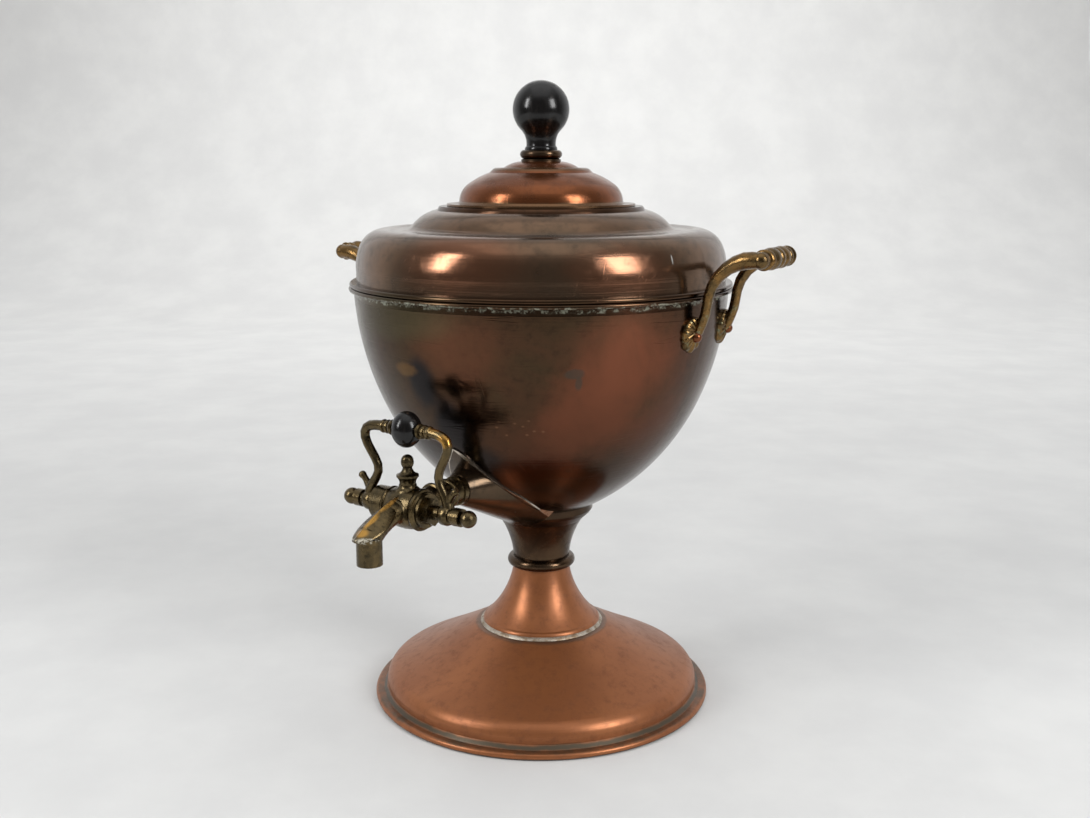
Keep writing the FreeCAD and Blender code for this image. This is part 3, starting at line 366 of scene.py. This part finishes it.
def spot(tree, bearing, radius, height, sizes, ragged=0.5, low=0.15, high=0.65):
    """A stain on the side of the urn, at a bearing from the tap, with a ragged edge."""
    x, y, z = seen_from(bearing, radius, height)
    across, along, tall = sizes
    turn = math.radians(bearing)
    centre = Vector((x, y, z))
    back = Matrix.Rotation(-turn, 3, "Z")
    moved = back @ centre
    stretch = (1 / across, 1 / along, 1 / tall)
    place = object_place(tree, turn=(0, 0, -turn))
    scaled = tree.nodes.new("ShaderNodeMapping")
    scaled.inputs["Scale"].default_value = stretch
    scaled.inputs["Location"].default_value = [-moved[i] * stretch[i] for i in range(3)]
    wire(tree, place, scaled.inputs["Vector"])
    ball = tree.nodes.new("ShaderNodeTexGradient")
    ball.gradient_type = "SPHERICAL"
    wire(tree, scaled.outputs["Vector"], ball.inputs["Vector"])
    drift = sum_up(tree, "SUBTRACT", cloud(tree, object_place(tree), 42.0, 7.0, 0.65, 0.4), 0.5)
    value = sum_up(tree, "ADD", ball.outputs["Fac"], sum_up(tree, "MULTIPLY", drift, ragged))
    return ease(tree, value, low, high)


def bowl_copper():
    """Dark brown copper, rubbed red on the sides, stained by the tap, with scale under the rim, and painted
    shade darkening it towards the bottom.
    """
    brown, olive, red = (0.080, 0.040, 0.023), (0.058, 0.038, 0.021), (0.175, 0.062, 0.034)
    material, tree, shader, colour = spun_copper(
        "bowl_copper", brown, olive, (0.034, 0.022, 0.015), gloss=(0.17, 0.28), seed=1.7, scratched=0.9)
    streaks = cloud(tree, object_place(tree, stretch=(1, 1, 0.35), turn=(0.5, 0.4, 0)), 26.0, 4.0, 0.6, 0.8)
    for bearing, height, sizes, strength in (
            (62, 0.240, (0.055, 0.06, 0.045), 0.95), (52, 0.205, (0.05, 0.06, 0.05), 0.8),
            (35, 0.185, (0.045, 0.06, 0.035), 0.55), (10, 0.245, (0.05, 0.06, 0.03), 0.4),
            (80, 0.190, (0.035, 0.05, 0.05), 0.5), (150, 0.22, (0.07, 0.08, 0.06), 0.7),
            (230, 0.20, (0.08, 0.09, 0.06), 0.7), (300, 0.24, (0.06, 0.08, 0.04), 0.5)):
        patch = spot(tree, bearing, 0.11, height, sizes, 0.55, 0.10, 0.75)
        patch = sum_up(tree, "MULTIPLY", patch, ease(tree, streaks, 0.30, 0.60, strength * 0.55, strength))
        colour = tint(tree, patch, colour, red)
    upper_left = spot(tree, -20, 0.115, 0.262, (0.09, 0.06, 0.022), 0.5)
    colour = tint(tree, sum_up(tree, "MULTIPLY", upper_left, 0.6), colour, (0.085, 0.070, 0.038))
    for bearing, height, sizes, strength in (
            (-4, 0.225, (0.016, 0.05, 0.026), 0.9), (4, 0.198, (0.020, 0.05, 0.028), 0.95),
            (12, 0.172, (0.024, 0.05, 0.022), 0.8), (-14, 0.178, (0.030, 0.05, 0.020), 0.6),
            (46, 0.150, (0.05, 0.05, 0.016), 0.5)):
        soot = spot(tree, bearing, 0.10, height, sizes, 0.5, 0.12, 0.6)
        colour = tint(tree, sum_up(tree, "MULTIPLY", soot, strength), colour, (0.017, 0.017, 0.019))
    # Painted shade: the colour darkens towards the bottom of the bowl, where it stands in shadow.
    parts = tree.nodes.new("ShaderNodeSeparateXYZ")
    wire(tree, object_place(tree), parts.inputs["Vector"])
    painted_shade_low = ease(tree, parts.outputs["Z"], 0.13, 0.235, 0.55, 0.0)
    colour = tint(tree, painted_shade_low, colour, (0.030, 0.020, 0.014))
    rusty = spot(tree, -10, 0.11, 0.232, (0.014, 0.04, 0.006), 1.2)
    colour = tint(tree, sum_up(tree, "MULTIPLY", rusty, 0.45), colour, (0.20, 0.105, 0.035))
    for bearing, height, sizes in (
            (44, 0.2340, (0.0085, 0.02, 0.0045)), (45.5, 0.2285, (0.0035, 0.02, 0.0060))):
        grey_mark = spot(tree, bearing, 0.1125, height, sizes, 1.6, 0.25, 0.6)
        colour = tint(tree, sum_up(tree, "MULTIPLY", grey_mark, 0.6), colour, (0.055, 0.055, 0.045))
    for count in range(9):
        fleck = spot(tree, 20 + count * 1.9 + 1.1 * math.sin(count * 5.1), 0.100,
                     0.2010 + 0.005 * math.sin(count * 2.3), (0.0019, 0.012, 0.0013), 1.1, 0.2, 0.9)
        colour = tint(tree, sum_up(tree, "MULTIPLY", fleck, 0.30), colour, (0.34, 0.17, 0.09))
    scale = band(tree, 0.2688, 0.2722, 0.0007, 0.004)
    crumbs = ease(tree, cloud(tree, object_place(tree, shift=(3, 1, 2)), 230.0, 6.0, 0.75), 0.46, 0.60)
    scale = sum_up(tree, "MULTIPLY", scale, crumbs)
    colour = tint(tree, sum_up(tree, "MULTIPLY", scale, 0.8), colour, (0.30, 0.31, 0.24))
    wire(tree, colour, shader.inputs["Base Color"])
    dull = ease(tree, scale, 0.0, 1.0, 1.0, 0.25)
    wire(tree, dull, shader.inputs["Metallic"])
    return material


bowl_skin = bowl_copper()
for piece_name in ("bowl", "rim_bead"):
    finish_node(piece_name, bowl_skin)


def shoulder_copper():
    """Paler than the bowl: its pale grey-brown colour is painted reflection of the shoulder's broad sheen,
    and two coppery patches on the flank and a small white tick are painted highlights.
    """
    # Painted reflection: these pale grey-brown colours stand in for the broad greyish sheen on the
    # shoulder.
    material, tree, shader, colour = spun_copper(
        "shoulder_copper", (0.165, 0.098, 0.060), (0.105, 0.070, 0.045), (0.052, 0.038, 0.026),
        gloss=(0.15, 0.30), seed=1.7, scratched=0.9)
    # Painted highlights: two coppery patches where the windows reflect on the shoulder's flank.
    for bearing, height, sizes in ((10, 0.295, (0.06, 0.06, 0.030)), (58, 0.290, (0.05, 0.06, 0.022))):
        patch = spot(tree, bearing, 0.118, height, sizes, 0.6, 0.10, 0.75)
        colour = tint(tree, sum_up(tree, "MULTIPLY", patch, 0.6), colour, (0.22, 0.088, 0.046))
    # Painted highlight: a small white glint on the right flank of the shoulder.
    painted_glint = spot(tree, 74.5, 0.1168, 0.2960, (0.0007, 0.010, 0.0036), 0.1, 0.1, 0.4)
    colour = tint(tree, painted_glint, colour, (0.74, 0.73, 0.70))
    wire(tree, colour, shader.inputs["Base Color"])
    return material


shoulder_skin = shoulder_copper()
finish_node("shoulder", shoulder_skin)


def fairing_copper():
    """Dark brown copper, with the edge of the pointed patch scraped bright where it was soldered."""
    material, tree, shader, colour = spun_copper(
        "fairing_copper", (0.085, 0.056, 0.034), (0.055, 0.040, 0.025), (0.030, 0.024, 0.017),
        gloss=(0.20, 0.32), seed=6.3)
    parts = tree.nodes.new("ShaderNodeSeparateXYZ")
    wire(tree, object_place(tree), parts.inputs["Vector"])
    half_width = 0.0254
    for start_width, start_level, slope in ((0.0245, 0.1493, 0.634), (0.0110, 0.1706, 0.887)):
        fallen = sum_up(tree, "MULTIPLY", sum_up(tree, "SUBTRACT", parts.outputs["Z"], start_level), slope)
        half_width = sum_up(tree, "MINIMUM", half_width, sum_up(tree, "SUBTRACT", start_width, fallen))
    inset = sum_up(tree, "SUBTRACT", half_width, sum_up(tree, "ABSOLUTE", parts.outputs["X"], 0.0))
    edge = ease(tree, inset, 0.0003, 0.0010, 1.0, 0.0)
    worn = ease(tree, cloud(tree, object_place(tree), 130.0, 4.0), 0.36, 0.55, 0.35, 1.0)
    colour = tint(tree, sum_up(tree, "MULTIPLY", edge, worn), colour, (0.62, 0.55, 0.46))
    wire(tree, colour, shader.inputs["Base Color"])
    return material


finish_node("tap_fairing", fairing_copper())


# ---------------------------------------------------------------------------------------------
# Lid: spun copper like the foot and as bright, with its skirt inside, the neck ring that it sits
# on, and the rivets and washers, which are copper too.
# ---------------------------------------------------------------------------------------------

def lid_copper():
    """Clean reddish copper, browner at the edge and in the cove."""
    material, tree, shader, colour = spun_copper(
        "lid_copper", (0.20, 0.064, 0.022), (0.155, 0.050, 0.018), (0.090, 0.032, 0.014), gloss=(0.2, 0.34),
        seed=4.1, metal=0.80)
    edge = band(tree, 0.3225, 0.3262, 0.0008, 0.003)
    colour = tint(tree, sum_up(tree, "MULTIPLY", edge, 0.75), colour, (0.13, 0.08, 0.04))
    cove = band(tree, 0.3448, 0.3470, 0.0006, 0.002)
    colour = tint(tree, sum_up(tree, "MULTIPLY", cove, 0.7), colour, (0.12, 0.07, 0.035))
    wire(tree, colour, shader.inputs["Base Color"])
    return material


lid_skin = lid_copper()
for piece_name in ("lid_dome", "lid_skirt", "handle_rivets_right", "handle_rivets_left",
                   "rivet_washers_right", "rivet_washers_left"):
    finish_node(piece_name, lid_skin)
finish_node("neck_ring", bowl_skin)


# ---------------------------------------------------------------------------------------------
# Knob: turned hardwood, ebonised black and waxed, on its stud.
# ---------------------------------------------------------------------------------------------

def ebonised_wood():
    """Black waxed wood with a fine upright grain."""
    material, tree, shader = new_material("ebonised_wood", 0.0, coat=0.10)
    shader.inputs["Coat Roughness"].default_value = 0.12
    shader.inputs["Specular IOR Level"].default_value = 0.32
    grain = cloud(tree, object_place(tree, stretch=(1, 1, 0.08)), 420.0, 5.0, 0.7, 0.3)
    lines = ease(tree, grain, 0.48, 0.7)
    colour = tint(tree, lines, (0.0035, 0.003, 0.003), (0.010, 0.008, 0.007))
    wire(tree, colour, shader.inputs["Base Color"])
    wire(tree, ease(tree, grain, 0.3, 0.7, 0.16, 0.28), shader.inputs["Roughness"])
    relief(tree, shader, grain, 0.12, 0.0002)
    return material


black_wood = ebonised_wood()
for piece_name in ("lid_knob", "lever_ball"):
    finish_node(piece_name, black_wood)


# ---------------------------------------------------------------------------------------------
# Handles: cast brass, one each side. Two shell feet are riveted to the bowl, an arm rises from
# each and swells as it bends over, and a turned grip with rings and a round disc joins them.
# ---------------------------------------------------------------------------------------------

mm = 0.001
RIM_RADIUS, RIM_LEVEL, BOWL_FLARE = 118.6, 267.0, 0.00487
HANDLE_FOOT_LEVEL, HANDLE_FOOT_SWING = 254.0, 11.4
ARM_APART, GRIP_OUT, GRIP_LEVEL = 22.6, 155.6, 296.0


def aged_brass(name, bright, aged, deep, seed):
    """Cast brass: olive brown clouds, dark freckles in the pits and a fine sandy skin."""
    material, tree, shader = new_material(name, 1.0)
    place = object_place(tree, shift=(seed, 0, 0))
    broad = ease(tree, cloud(tree, place, 60.0, 5.0, 0.62, 0.6), 0.32, 0.68)
    rub = ease(tree, cloud(tree, place, 230.0, 5.0, 0.7), 0.46, 0.72)
    colour = tint(tree, broad, bright, aged)
    colour = tint(tree, sum_up(tree, "MULTIPLY", rub, 0.7), colour, deep)
    wire(tree, ease(tree, rub, 0.0, 1.0, 0.24, 0.46), shader.inputs["Roughness"])
    relief(tree, shader, cloud(tree, place, 500.0, 5.0, 0.7), 0.30, 0.0004)
    return material, tree, shader, colour


def handle_brass():
    """Brown brass, with pale green crumbs low on the arms and feet."""
    material, tree, shader, colour = aged_brass(
        "handle_brass", (0.235, 0.130, 0.044), (0.120, 0.080, 0.036), (0.036, 0.030, 0.019), 2.0)
    green = band(tree, 0.236, 0.270, 0.004, 0.006)
    crumbs = ease(tree, cloud(tree, object_place(tree, shift=(3, 1, 2)), 260.0, 6.0, 0.75), 0.52, 0.62)
    colour = tint(tree, sum_up(tree, "MULTIPLY", green, sum_up(tree, "MULTIPLY", crumbs, 0.75)),
                  colour, (0.20, 0.22, 0.14))
    wire(tree, colour, shader.inputs["Base Color"])
    return material


def drawn_bar(name, stations, sides=28, squeeze=1.0):
    """A bar drawn through stations (x, z, radius) in the XZ plane, its end ring extruded, turned
    and resized at each one; squeeze flattens the section across the plane."""
    headings = [math.atan2(after[0] - before[0], after[1] - before[1])
                for before, after in zip(stations, stations[1:])]
    turns = [headings[0]] + [(one + two) / 2 for one, two in zip(headings, headings[1:])] + [headings[-1]]
    x, z, radius = stations[0]
    bpy.ops.mesh.primitive_circle_add(vertices=sides, radius=radius * mm, fill_type="NGON",
                                      location=(x * mm, 0, z * mm), rotation=(0, turns[0], 0))
    bar = bpy.context.object
    bar.name = name
    bpy.ops.object.transform_apply(location=True, rotation=True, scale=True)
    bpy.ops.object.mode_set(mode="EDIT")
    bpy.ops.mesh.select_all(action="SELECT")
    bpy.ops.transform.resize(value=(1, squeeze, 1))
    for before, after, turn, next_turn in zip(stations, stations[1:], turns, turns[1:]):
        step = ((after[0] - before[0]) * mm, 0, (after[1] - before[1]) * mm)
        centre = (after[0] * mm, 0, after[1] * mm)
        bpy.ops.mesh.extrude_region_move(TRANSFORM_OT_translate={"value": step})
        bpy.ops.transform.rotate(value=turn - next_turn, orient_axis="Y", center_override=centre)
        bpy.ops.transform.resize(value=(after[2] / before[2],) * 3, center_override=centre)
    bpy.ops.mesh.select_all(action="SELECT")
    bpy.ops.mesh.normals_make_consistent(inside=False)
    bpy.ops.object.mode_set(mode="OBJECT")
    bpy.ops.object.shade_smooth_by_angle(angle=math.radians(42))
    return bar


def stand_in(thing, spot=(0, 0, 0), turn=(0, 0, 0)):
    """Turn a finished piece and move it to its spot, and leave it at the origin, unturned."""
    bpy.ops.object.select_all(action="DESELECT")
    thing.select_set(True)
    bpy.context.view_layer.objects.active = thing
    thing.rotation_euler = turn
    thing.location = spot
    bpy.ops.object.transform_apply(location=True, rotation=True, scale=True)
    return thing


def as_one(name, things):
    """Join things into one piece, with its origin at the foot of the urn."""
    bpy.ops.object.select_all(action="DESELECT")
    for thing in things:
        thing.select_set(True)
    bpy.context.view_layer.objects.active = things[0]
    bpy.ops.object.join()
    things[0].name = name
    bpy.context.scene.cursor.location = (0, 0, 0)
    bpy.ops.object.origin_set(type="ORIGIN_CURSOR")
    return things[0]


def bowl_side(level):
    """Outside radius of the upper bowl in mm at a level in mm."""
    return RIM_RADIUS - BOWL_FLARE * max(RIM_LEVEL - level, 0.0) ** 2


def round_ball(name, radii, spot):
    """A ball or egg from its three radii and its centre, in mm."""
    bpy.ops.mesh.primitive_uv_sphere_add(segments=40, ring_count=24, radius=1.0, location=(0, 0, 0))
    thing = bpy.context.object
    thing.name = name
    thing.scale = [radius * mm for radius in radii]
    thing.location = [length * mm for length in spot]
    bpy.ops.object.transform_apply(location=True, rotation=True, scale=True)
    bpy.ops.object.shade_smooth()
    return thing


def shell_foot(name, bearing, middle):
    """A fan-shaped plate: flutes spread from the rivet, round above and pointed below."""
    bpy.ops.mesh.primitive_uv_sphere_add(segments=108, ring_count=30, radius=1.0, location=(0, 0, 0))
    foot = bpy.context.object
    foot.name = name
    flutes = 13
    for corner in foot.data.vertices:
        across, down, out = corner.co.x, corner.co.y, corner.co.z
        spread = math.hypot(across, down)
        angle = math.atan2(across, -down)
        low = max(math.cos(angle), 0.0)
        reach = 9.2 + 3.9 * low ** 3 - 1.2 * max(-math.cos(angle), 0.0)
        fluting = math.cos(angle * flutes) * min(spread * 1.3, 1.0) * (0.35 + 0.65 * low)
        reach *= 1 + 0.03 * fluting
        level = middle - reach * spread * math.cos(angle)
        side = reach * spread * math.sin(angle)
        thick = 3.3 * max(out, 0.0) ** 0.6 * (1 + 0.20 * fluting) if out > 0 else -1.2
        radius = bowl_side(level) - side * side / 237.0 + thick
        corner.co = (radius * mm, side * mm, level * mm)
    bpy.ops.object.mode_set(mode="EDIT")
    bpy.ops.mesh.select_all(action="SELECT")
    bpy.ops.mesh.normals_make_consistent(inside=False)
    bpy.ops.object.mode_set(mode="OBJECT")
    bpy.ops.object.shade_smooth_by_angle(angle=math.radians(50))
    return stand_in(foot, turn=(0, 0, math.radians(bearing)))


ARM_RUN = [(117.6, 250.4, 2.3), (118.9, 253.5, 2.7), (120.8, 258.5, 2.9), (122.6, 263.5, 2.9),
           (123.5, 268.5, 2.9), (124.3, 274.0, 3.0), (126.4, 280.2, 3.2), (130.2, 286.0, 3.5),
           (135.4, 290.8, 4.0), (140.6, 293.8, 4.6), (145.8, 295.5, 5.0), (150.6, 296.0, 4.9),
           (154.2, 296.0, 4.6)]
GRIP_RUN = [(-25.6, 3.0), (-24.6, 4.4), (-22.0, 4.9), (-20.4, 4.8), (-20.1, 5.7), (-19.4, 6.1),
            (-18.6, 5.8), (-18.3, 4.9), (-17.2, 4.8), (-16.6, 5.4), (-15.2, 5.9), (-13.6, 5.5),
            (-13.0, 4.8), (-12.2, 5.0), (-10.6, 6.0), (-8.2, 6.5), (-5.6, 6.2), (-3.6, 5.3), (-3.0, 4.8),
            (-2.3, 5.6), (-1.0, 6.2)]


def brass_handle(side, bearing, drop):
    """One handle at a bearing from the +X side, fixed lower on the bowl by a drop in mm."""
    pieces = []
    for reach in (-ARM_APART, ARM_APART):
        arm = drawn_bar("arm", ARM_RUN, squeeze=1.12)
        pieces.append(stand_in(arm, spot=(0, reach * mm, 0)))
        pieces.append(round_ball("elbow", (4.9, 5.0, 4.9), (155.4, reach, GRIP_LEVEL)))
    mirrored = [(-place, radius) for place, radius in reversed(GRIP_RUN)]
    grip = drawn_bar("grip", [(0.0, place, radius) for place, radius in GRIP_RUN + mirrored], sides=36)
    pieces.append(stand_in(grip, spot=(GRIP_OUT * mm, 0, GRIP_LEVEL * mm), turn=(math.radians(90), 0, 0)))
    handle = as_one("brass_handle_" + side, pieces)
    stand_in(handle, spot=(0, 0, -drop * mm), turn=(0, 0, math.radians(bearing)))
    feet = [shell_foot("foot", bearing + swing, HANDLE_FOOT_LEVEL - drop)
            for swing in (-HANDLE_FOOT_SWING, HANDLE_FOOT_SWING)]
    handle = as_one("brass_handle_" + side, [handle] + feet)
    handle.data.materials.append(handle_skin)
    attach(handle, "urn")
    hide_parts("handle_" + side)


handle_skin = handle_brass()
brass_handle("right", 4.4, 0.0)
brass_handle("left", 178.0, 7.0)


# ---------------------------------------------------------------------------------------------
# Tap: cast and turned brass, aged olive brown and nearly black in the hollows. A golden highlight is
# painted along the ridge of the spout, the bend of the right arm is rubbed golden, and pale scale has dried
# at the outlet.
# ---------------------------------------------------------------------------------------------

def tap_brass():
    """Dark olive brass, golden where it is rubbed, with a painted golden highlight on the spout ridge and
    dried scale at the outlet.
    """
    material, tree, shader, colour = aged_brass(
        "tap_brass", (0.135, 0.096, 0.045), (0.078, 0.060, 0.033), (0.030, 0.026, 0.018), 0.0)
    # The first three spots, along the ridge of the spout, are a painted highlight; the last two, on the
    # bend of the right arm, are rubbed brass.
    for bearing, radius, height, sizes, strength in (
            (0, 0.1500, 0.1618, (0.0028, 0.016, 0.006), 0.85),
            (0, 0.1640, 0.1560, (0.0032, 0.014, 0.006), 0.85),
            (0, 0.1730, 0.1515, (0.0060, 0.007, 0.003), 0.75),
            (11.8, 0.1370, 0.1990, (0.007, 0.006, 0.006), 0.8),
            (8.8, 0.1350, 0.2045, (0.007, 0.004, 0.003), 0.6)):
        worn = spot(tree, bearing, radius, height, sizes, 0.35, 0.15, 0.6)
        colour = tint(tree, sum_up(tree, "MULTIPLY", worn, strength), colour, (0.46, 0.245, 0.055))
    crumbs = ease(tree, cloud(tree, object_place(tree, shift=(3, 1, 2)), 420.0, 6.0, 0.75), 0.47, 0.56)
    outlet = spot(tree, 0, 0.1715, 0.1478, (0.011, 0.010, 0.0030), 0.5, 0.1, 0.4)
    dried = sum_up(tree, "MULTIPLY", outlet, crumbs)
    colour = tint(tree, sum_up(tree, "MULTIPLY", dried, 0.9), colour, (0.50, 0.47, 0.38))
    wire(tree, colour, shader.inputs["Base Color"])
    wire(tree, ease(tree, dried, 0.0, 1.0, 1.0, 0.1), shader.inputs["Metallic"])
    return material


tap_skin = tap_brass()
for piece_name in ("tap_wall_flange", "tap_finial", "spout_outlet", "plug", "plug_washer",
                   "plug_nut", "ball_collar_left", "ball_collar_right", "shaft_ring_left",
                   "shaft_ring_right", "end_ball_left", "end_ball_right", "tap_seat", "tap_back_nut"):
    finish_node(piece_name, tap_skin)

PLUG_AXIS, TAP_LEVEL = 133.718, 157.0
BARREL_RUN = [(-13.0, 8.0), (-12.9, 9.6), (-12.2, 10.6), (-11.2, 10.7), (-10.9, 10.1), (-10.3, 10.1),
              (-7.0, 11.4), (-3.0, 12.1), (2.0, 12.3), (6.0, 11.9), (8.4, 11.4), (8.7, 10.8), (9.3, 10.8),
              (9.6, 11.8), (10.6, 12.2), (11.6, 11.8), (11.9, 10.7), (12.9, 10.2), (13.0, 8.0)]
INLET_RUN = [(10.0, 6.0), (12.4, 6.8), (15.0, 7.2), (18.0, 7.4), (20.4, 8.0), (20.8, 9.0), (22.0, 9.4),
             (23.2, 9.0), (23.6, 8.2), (28.0, 7.9), (32.6, 8.0), (33.0, 8.7), (34.4, 9.2), (35.8, 8.8),
             (36.2, 7.9), (38.8, 7.6), (41.6, 8.2), (41.7, 6.1), (45.6, 6.1), (45.7, 4.9), (90.7, 4.9)]
BOSS_RUN = [(9.0, 7.6), (10.6, 7.2), (11.6, 6.0), (12.4, 5.2), (13.7, 5.0)]
NOSE_RUN = [(9.0, 7.4), (11.4, 7.4), (12.2, 6.8), (13.1, 6.4)]


def tap_casting():
    """Swelling barrel with ring mouldings, ringed inlet and threaded tail, boss and nose."""
    barrel = drawn_bar("barrel", [(place, 0, radius) for place, radius in BARREL_RUN], sides=48)
    inlet = drawn_bar("inlet", [(place, 0, radius) for place, radius in INLET_RUN], sides=40)
    stand_in(inlet, turn=(0, 0, math.radians(90)))
    boss = drawn_bar("boss", [(0, place, radius) for place, radius in BOSS_RUN], sides=32)
    nose = drawn_bar("nose", [(place, 0, radius) for place, radius in NOSE_RUN], sides=32)
    stand_in(nose, turn=(0, 0, math.radians(-90)))
    casting = as_one("tap_casting", [barrel, inlet, boss, nose])
    return stand_in(casting, spot=(0, -PLUG_AXIS * mm, TAP_LEVEL * mm))


casting = tap_casting()
casting.data.materials.append(tap_skin)
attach(casting, "urn")
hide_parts("tap_body")

SPOUT_RUN = [(141.4, 157.0, 5.6), (143.5, 157.0, 7.0), (146.0, 156.6, 6.9), (149.5, 155.6, 6.3),
             (153.5, 154.0, 6.0), (157.5, 152.3, 6.1), (161.0, 150.7, 6.5), (164.0, 149.3, 7.0),
             (166.2, 148.0, 7.3), (166.9, 147.5, 6.4)]


def duck_bill():
    """The hood over the outlet: a leaf with a raised ridge, wide behind and pointed in front."""
    bpy.ops.mesh.primitive_uv_sphere_add(segments=72, ring_count=36, radius=1.0, location=(0, 0, 0))
    hood = bpy.context.object
    half_length, half_width = 21.0, 9.8
    for corner in hood.data.vertices:
        across, along, above = corner.co.x, corner.co.y, corner.co.z
        forward = -along
        swell = 0.50 + 0.50 * math.sin(math.radians(90 * min(forward + 0.45, 1.0)))
        side = across * half_width * swell
        ridge = 1.9 * math.exp(-(side / 1.5) ** 2) * (1 - 0.35 * abs(forward))
        thick = 3.0 if above > 0 else 1.5
        droop = 2.6 * (side / half_width) ** 2 + 1.0 * max(forward - 0.45, 0.0)
        lift = above * thick + (ridge if above > -0.1 else 0.0) - droop
        reach = 157.2 + forward * half_length
        level = 156.2 - 0.41 * (reach - 157.2)
        corner.co = (side * mm, -reach * mm, (level + lift) * mm)
    bpy.ops.object.mode_set(mode="EDIT")
    bpy.ops.mesh.select_all(action="SELECT")
    bpy.ops.mesh.normals_make_consistent(inside=False)
    bpy.ops.object.mode_set(mode="OBJECT")
    bpy.ops.object.shade_smooth_by_angle(angle=math.radians(60))
    return hood


spout_tube = drawn_bar("spout_tube", SPOUT_RUN, sides=40)
stand_in(spout_tube, turn=(0, 0, math.radians(-90)))
spout = as_one("leaf_spout", [spout_tube, duck_bill()])
spout.data.materials.append(tap_skin)
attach(spout, "urn")
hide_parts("spout")

RIGHT_ARM = [(29.0, 160.9, 3.4), (28.9, 163.2, 3.1), (27.6, 166.6, 2.8), (25.4, 170.2, 2.6),
             (23.5, 173.6, 2.55), (22.6, 177.6, 2.55), (23.4, 181.6, 2.6), (25.3, 185.6, 2.6),
             (27.4, 189.4, 2.65), (28.9, 192.9, 2.7), (29.5, 196.1, 2.8), (28.6, 198.9, 2.9),
             (26.2, 200.8, 2.95), (23.0, 201.8, 2.95), (19.4, 202.3, 3.0)]
LEFT_ARM = [(29.0, 160.9, 3.4), (28.6, 163.6, 3.1), (26.6, 167.4, 2.8), (23.9, 171.2, 2.6),
            (22.1, 175.1, 2.55), (22.3, 179.0, 2.55), (24.3, 182.7, 2.6), (27.2, 186.6, 2.6),
            (29.9, 190.4, 2.65), (31.6, 194.2, 2.7), (31.6, 197.4, 2.8), (30.0, 200.0, 2.9),
            (27.0, 201.6, 2.95), (23.0, 202.2, 2.95), (19.4, 202.4, 3.0)]
BALL_END = [(17.8, 202.4, 3.0), (17.5, 202.4, 3.7), (16.6, 202.4, 4.0), (15.7, 202.4, 3.7),
            (15.4, 202.4, 3.1), (14.6, 202.4, 3.1), (14.3, 202.4, 3.8), (13.4, 202.4, 4.1),
            (12.5, 202.4, 3.8), (12.2, 202.4, 3.2), (11.4, 202.4, 3.2), (11.1, 202.4, 4.2),
            (10.0, 202.4, 4.6), (9.2, 202.4, 4.0)]
CURL_RUN = [(29.0, 164.6, 2.6), (30.6, 166.6, 2.2), (32.0, 168.6, 1.9), (33.2, 170.0, 1.9),
            (34.3, 171.0, 2.3), (35.3, 171.7, 2.2), (36.0, 172.2, 1.4)]
EYE_RUN = [(-3.4, 4.6), (-3.0, 5.4), (-1.6, 6.0), (1.6, 6.0), (3.0, 5.4), (3.4, 4.6)]


def lever_arm(side, run):
    """One arm of the lever: its eye on the spindle, the bow up to the ball, and a curl."""
    eye = drawn_bar("eye", [(28.0 + place, TAP_LEVEL, radius) for place, radius in EYE_RUN], sides=32)
    arm = as_one("lever_arm_" + side + "_cast", [
        drawn_bar("bow", run + BALL_END), drawn_bar("curl", CURL_RUN, sides=20), eye])
    half_turn = math.pi if side == "left" else 0.0
    stand_in(arm, turn=(0, 0, half_turn))
    stand_in(arm, spot=(0, -PLUG_AXIS * mm, 0))
    arm.data.materials.append(tap_skin)
    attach(arm, "tap_lever")
    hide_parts("lever_arm_" + side)


lever_arm("right", RIGHT_ARM)
lever_arm("left", LEFT_ARM)


# ---------------------------------------------------------------------------------------------
# Small fixings: the steel stud, washer and nut of the knob, the rod through the lever ball and
# the leather washer behind the tap.
# ---------------------------------------------------------------------------------------------

def tanned_leather():
    """Brown leather, worn darker in patches."""
    material, tree, shader = new_material("tanned_leather", 0.0)
    place = object_place(tree)
    worn = ease(tree, cloud(tree, place, 180.0, 6.0, 0.7), 0.35, 0.7)
    wire(tree, tint(tree, worn, (0.16, 0.085, 0.040), (0.07, 0.036, 0.018)), shader.inputs["Base Color"])
    wire(tree, ease(tree, worn, 0.0, 1.0, 0.55, 0.8), shader.inputs["Roughness"])
    relief(tree, shader, cloud(tree, place, 900.0, 4.0, 0.7), 0.5, 0.0003)
    return material


fixing_steel = grey_solder()
for piece_name in ("knob_stud", "knob_washer", "knob_nut", "lever_tie_rod"):
    finish_node(piece_name, fixing_steel)
finish_node("tap_back_washer", tanned_leather())
